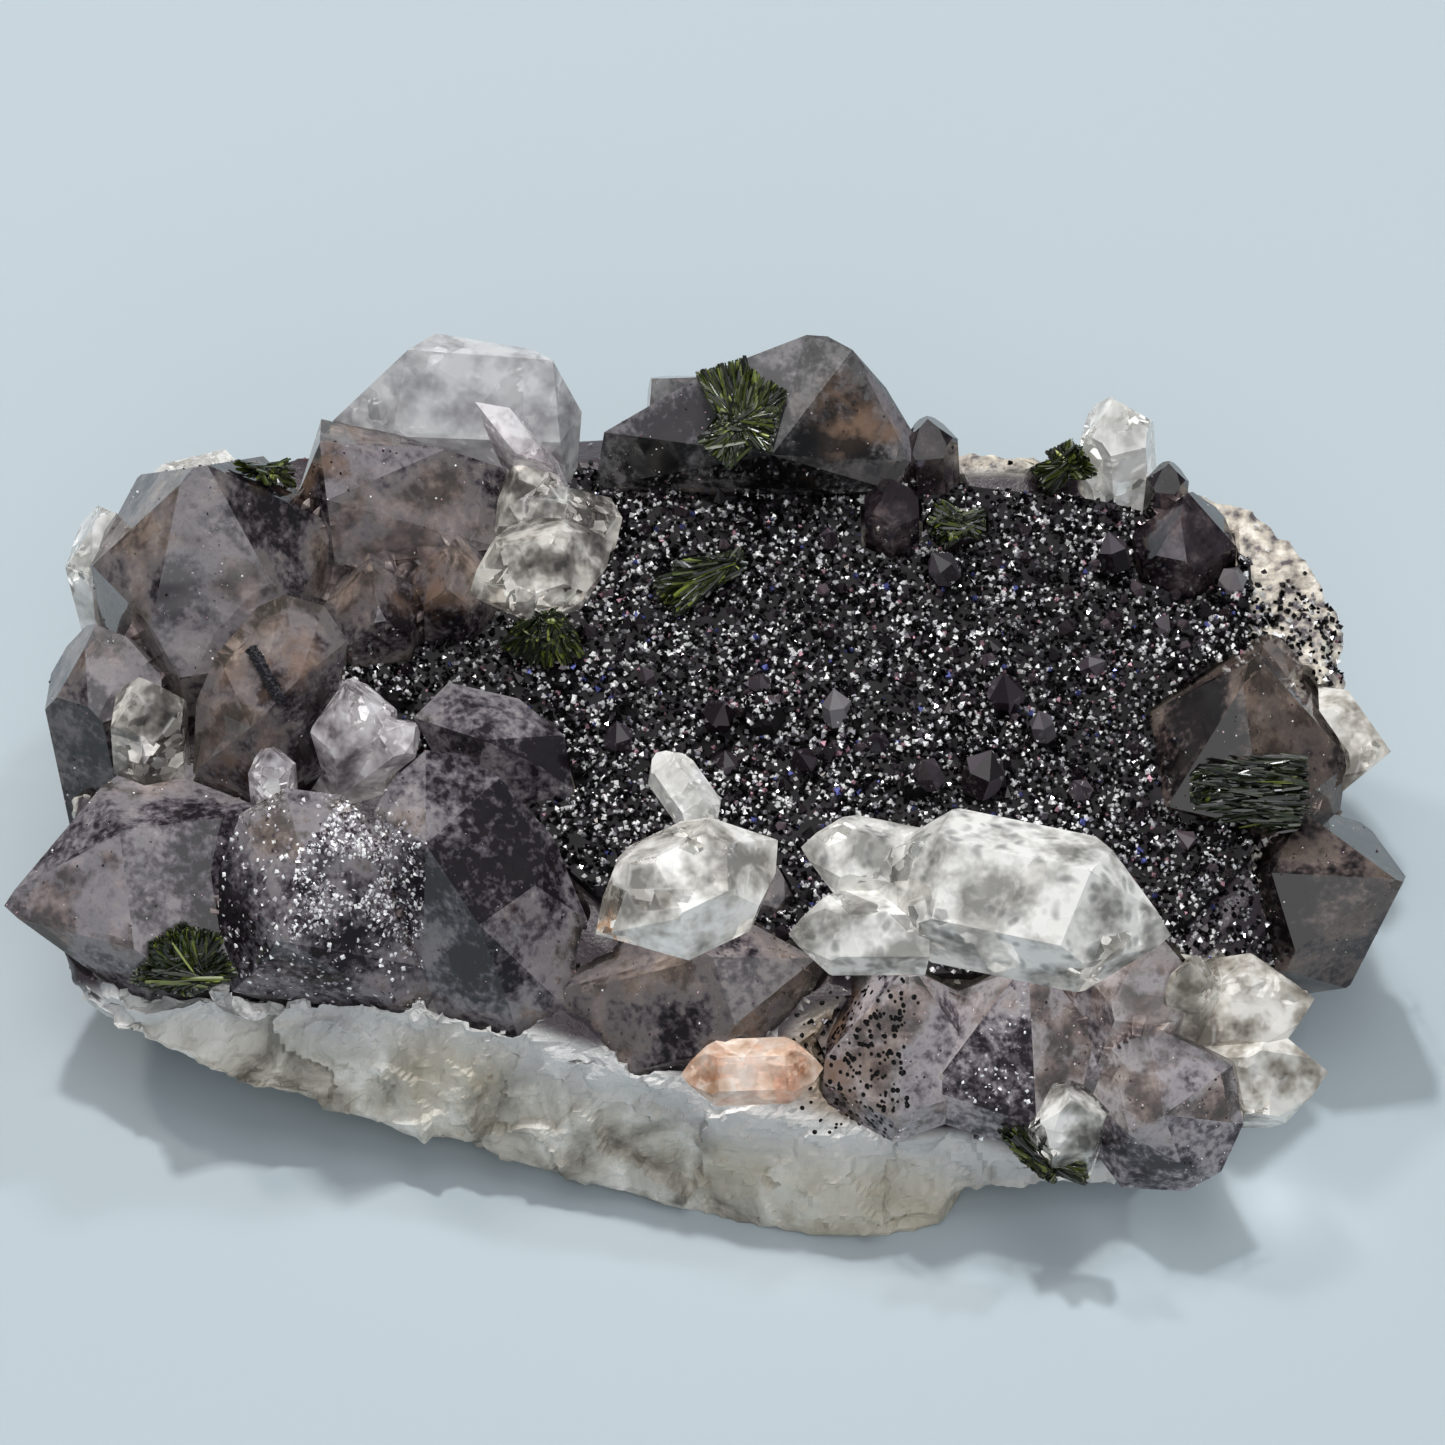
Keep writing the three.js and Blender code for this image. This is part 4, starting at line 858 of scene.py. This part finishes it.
def flat_blade():
    """A flat four-sided bar from -1 to 1, narrower near its foot, with a blunt end: rings and triangles."""
    rings = [(-1, 0.35), (-0.5, 0.9), (0.75, 1), (1, 0.7)]
    shape = [[size * x, size * 0.4 * y, z] for z, size in rings for x, y in ((1, 0), (0, 1), (-1, 0), (0, -1))]
    faces = [[3, 2, 1], [3, 1, 0], [12, 13, 14], [12, 14, 15]]
    for ring in range(len(rings) - 1):
        for k in range(4):
            low, side = 4 * ring + k, 4 * ring + (k + 1) % 4
            faces += [[low, side, side + 4], [low, side + 4, low + 4]]
    return np.array(shape), np.array(faces)


def blade_spray(node, heart, count, along):
    """Blades from near the heart to places on the spray's solid, or lying along one direction for a stack."""
    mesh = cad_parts[node].data
    solid = surface(node)
    centre = np.array(solid.find_nearest(sight(solid, *heart)[0])[0])
    tips, _ = spots_on(mesh, count)
    if along is None:
        starts = centre + (spots_on(mesh, STARTS)[0] - centre) * chance.uniform(0, 0.7, STARTS)[:, None]
        roots = starts[chance.integers(STARTS, size=count)]
        roots += (tips - roots) * chance.uniform(0, 0.6, count)[:, None]
    else:
        roots = tips - np.array(along) * chance.uniform(0.8 * MM, 3 * MM, count)[:, None]
        roots += chance.normal(scale=0.2 * MM, size=roots.shape)
        roots[:, 0] = np.maximum(roots[:, 0], tips[:, 0].min() + chance.uniform(0, 1.6 * MM, count))
        roots[:, 2] += chance.normal(scale=0.25 * MM, size=count)
    way = tips - roots
    length = np.linalg.norm(way, axis=1)
    shine = 1 if along is None else STACK_SHINE
    # The lighter olive and yellow-green blades are partly the epidote's own colour and partly painted
    # highlights.
    tones = shades(count, [(6, "#0d1208"), (5, "#222b10"), (3 * shine, "#3d4817"), (1.2 * shine, "#667226"),
                           (0.15 * shine, "#a9b15a")])
    return scattered(node, *flat_blade(), (tips + roots) / 2, way / length[:, None],
                     chance.uniform(*BLADE_WIDTH, count), length / 2, tones)


# Epidote: glassier than quartz, so each blade has a sharp, bright edge.
epidote_finish = toned("epidote blades", {"Roughness": 0.28, "IOR": 1.74})
for node, (heart, count, along) in EPIDOTE.items():
    spray = piece(node.replace("_", " ") + " blades", blade_spray(node, heart, count, along),
                  epidote_finish)
    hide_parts(node)

# Goethite: one black needle that stands on the smoky crystals at the left, with lumps along it.
# The needle is the CAD solid, dull black like burnt iron; the lumps are double points sunk into it.
LUMPS = 260
goethite_finish, tree, shader = material("goethite")
fill(shader, {"Base Color": linear("#17131a"), "Roughness": 0.4})
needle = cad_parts["goethite_rod"]
needle.data.materials.clear()
needle.data.materials.append(goethite_finish)
knobs, knob_up = spots_on(needle.data, LUMPS)
sizes = chance.uniform(0.1 * MM, 0.26 * MM, LUMPS)
lump_mesh = scattered("goethite lumps", *double_point(5), knobs - knob_up * 0.1 * MM, knob_up, sizes, sizes,
                      shades(LUMPS, [(1, "#17131a")]))
piece("goethite lumps", lump_mesh, goethite_finish)

# A plain pale table, which the specimen only stands on, under soft studio light: three small lamps behind it
# for the glints, a wide one above, and a wide one in front that fills the shade.
bpy.ops.mesh.primitive_plane_add(size=4)
floor = bpy.context.object
floor.name = "table"
floor_finish, tree, shader = material("pale table")
fill(shader, {"Base Color": linear("#b3bfc6"), "Roughness": 0.7})
floor.data.materials.append(floor_finish)

LAMPS = [("back lamp", (-0.21, 0.5, 1.0), 0.07, 6.0, "#ffffff"),  # place, size, power and colour
         ("left lamp", (-0.66, 0.6, 0.92), 0.1, 3.3, "#fff8f0"),
         ("right lamp", (0.75, 0.55, 0.92), 0.1, 3.3, "#f6faff"),
         ("ceiling", (0.0, 0.1, 1.1), 0.6, 2.0, "#ffffff"),
         ("front lamp", (0.12, -0.78, 0.86), 1.0, 4.6, "#ffffff")]
scene = bpy.context.scene
for name, place, size, power, colour in LAMPS:
    light = bpy.data.lights.new(name, "AREA")
    light.size = size
    light.energy = power
    light.color = linear(colour)[:3]
    lamp = bpy.data.objects.new(name, light)
    scene.collection.objects.link(lamp)
    lamp.location = place
    lamp.rotation_euler = (Vector((0, 0, 0.02)) - lamp.location).to_track_quat("-Z", "Y").to_euler()
scene.world = bpy.data.worlds.new("room")
scene.world.use_nodes = True
fill(scene.world.node_tree.nodes["Background"], {"Color": linear("#d5dde2"), "Strength": 0.22})
scene.view_settings.view_transform = "Standard"

# The camera of the photograph: far off with a long lens, looking down at the angle of the view.
LENS = 400
SENSOR = 36
FIELD = 1445 * 0.08 * MM  # the width of the picture, at 0.08 mm a pixel
target = Vector(seen(0.04, 15.0, 20))
camera = bpy.data.objects.new("camera", bpy.data.cameras.new("camera"))
scene.collection.objects.link(camera)
camera.data.lens = LENS
camera.data.sensor_width = SENSOR
camera.data.clip_end = 10
camera.location = target + to_viewer * (FIELD * LENS / SENSOR)
camera.rotation_euler = (-to_viewer).to_track_quat("-Z", "Y").to_euler()
scene.camera = camera
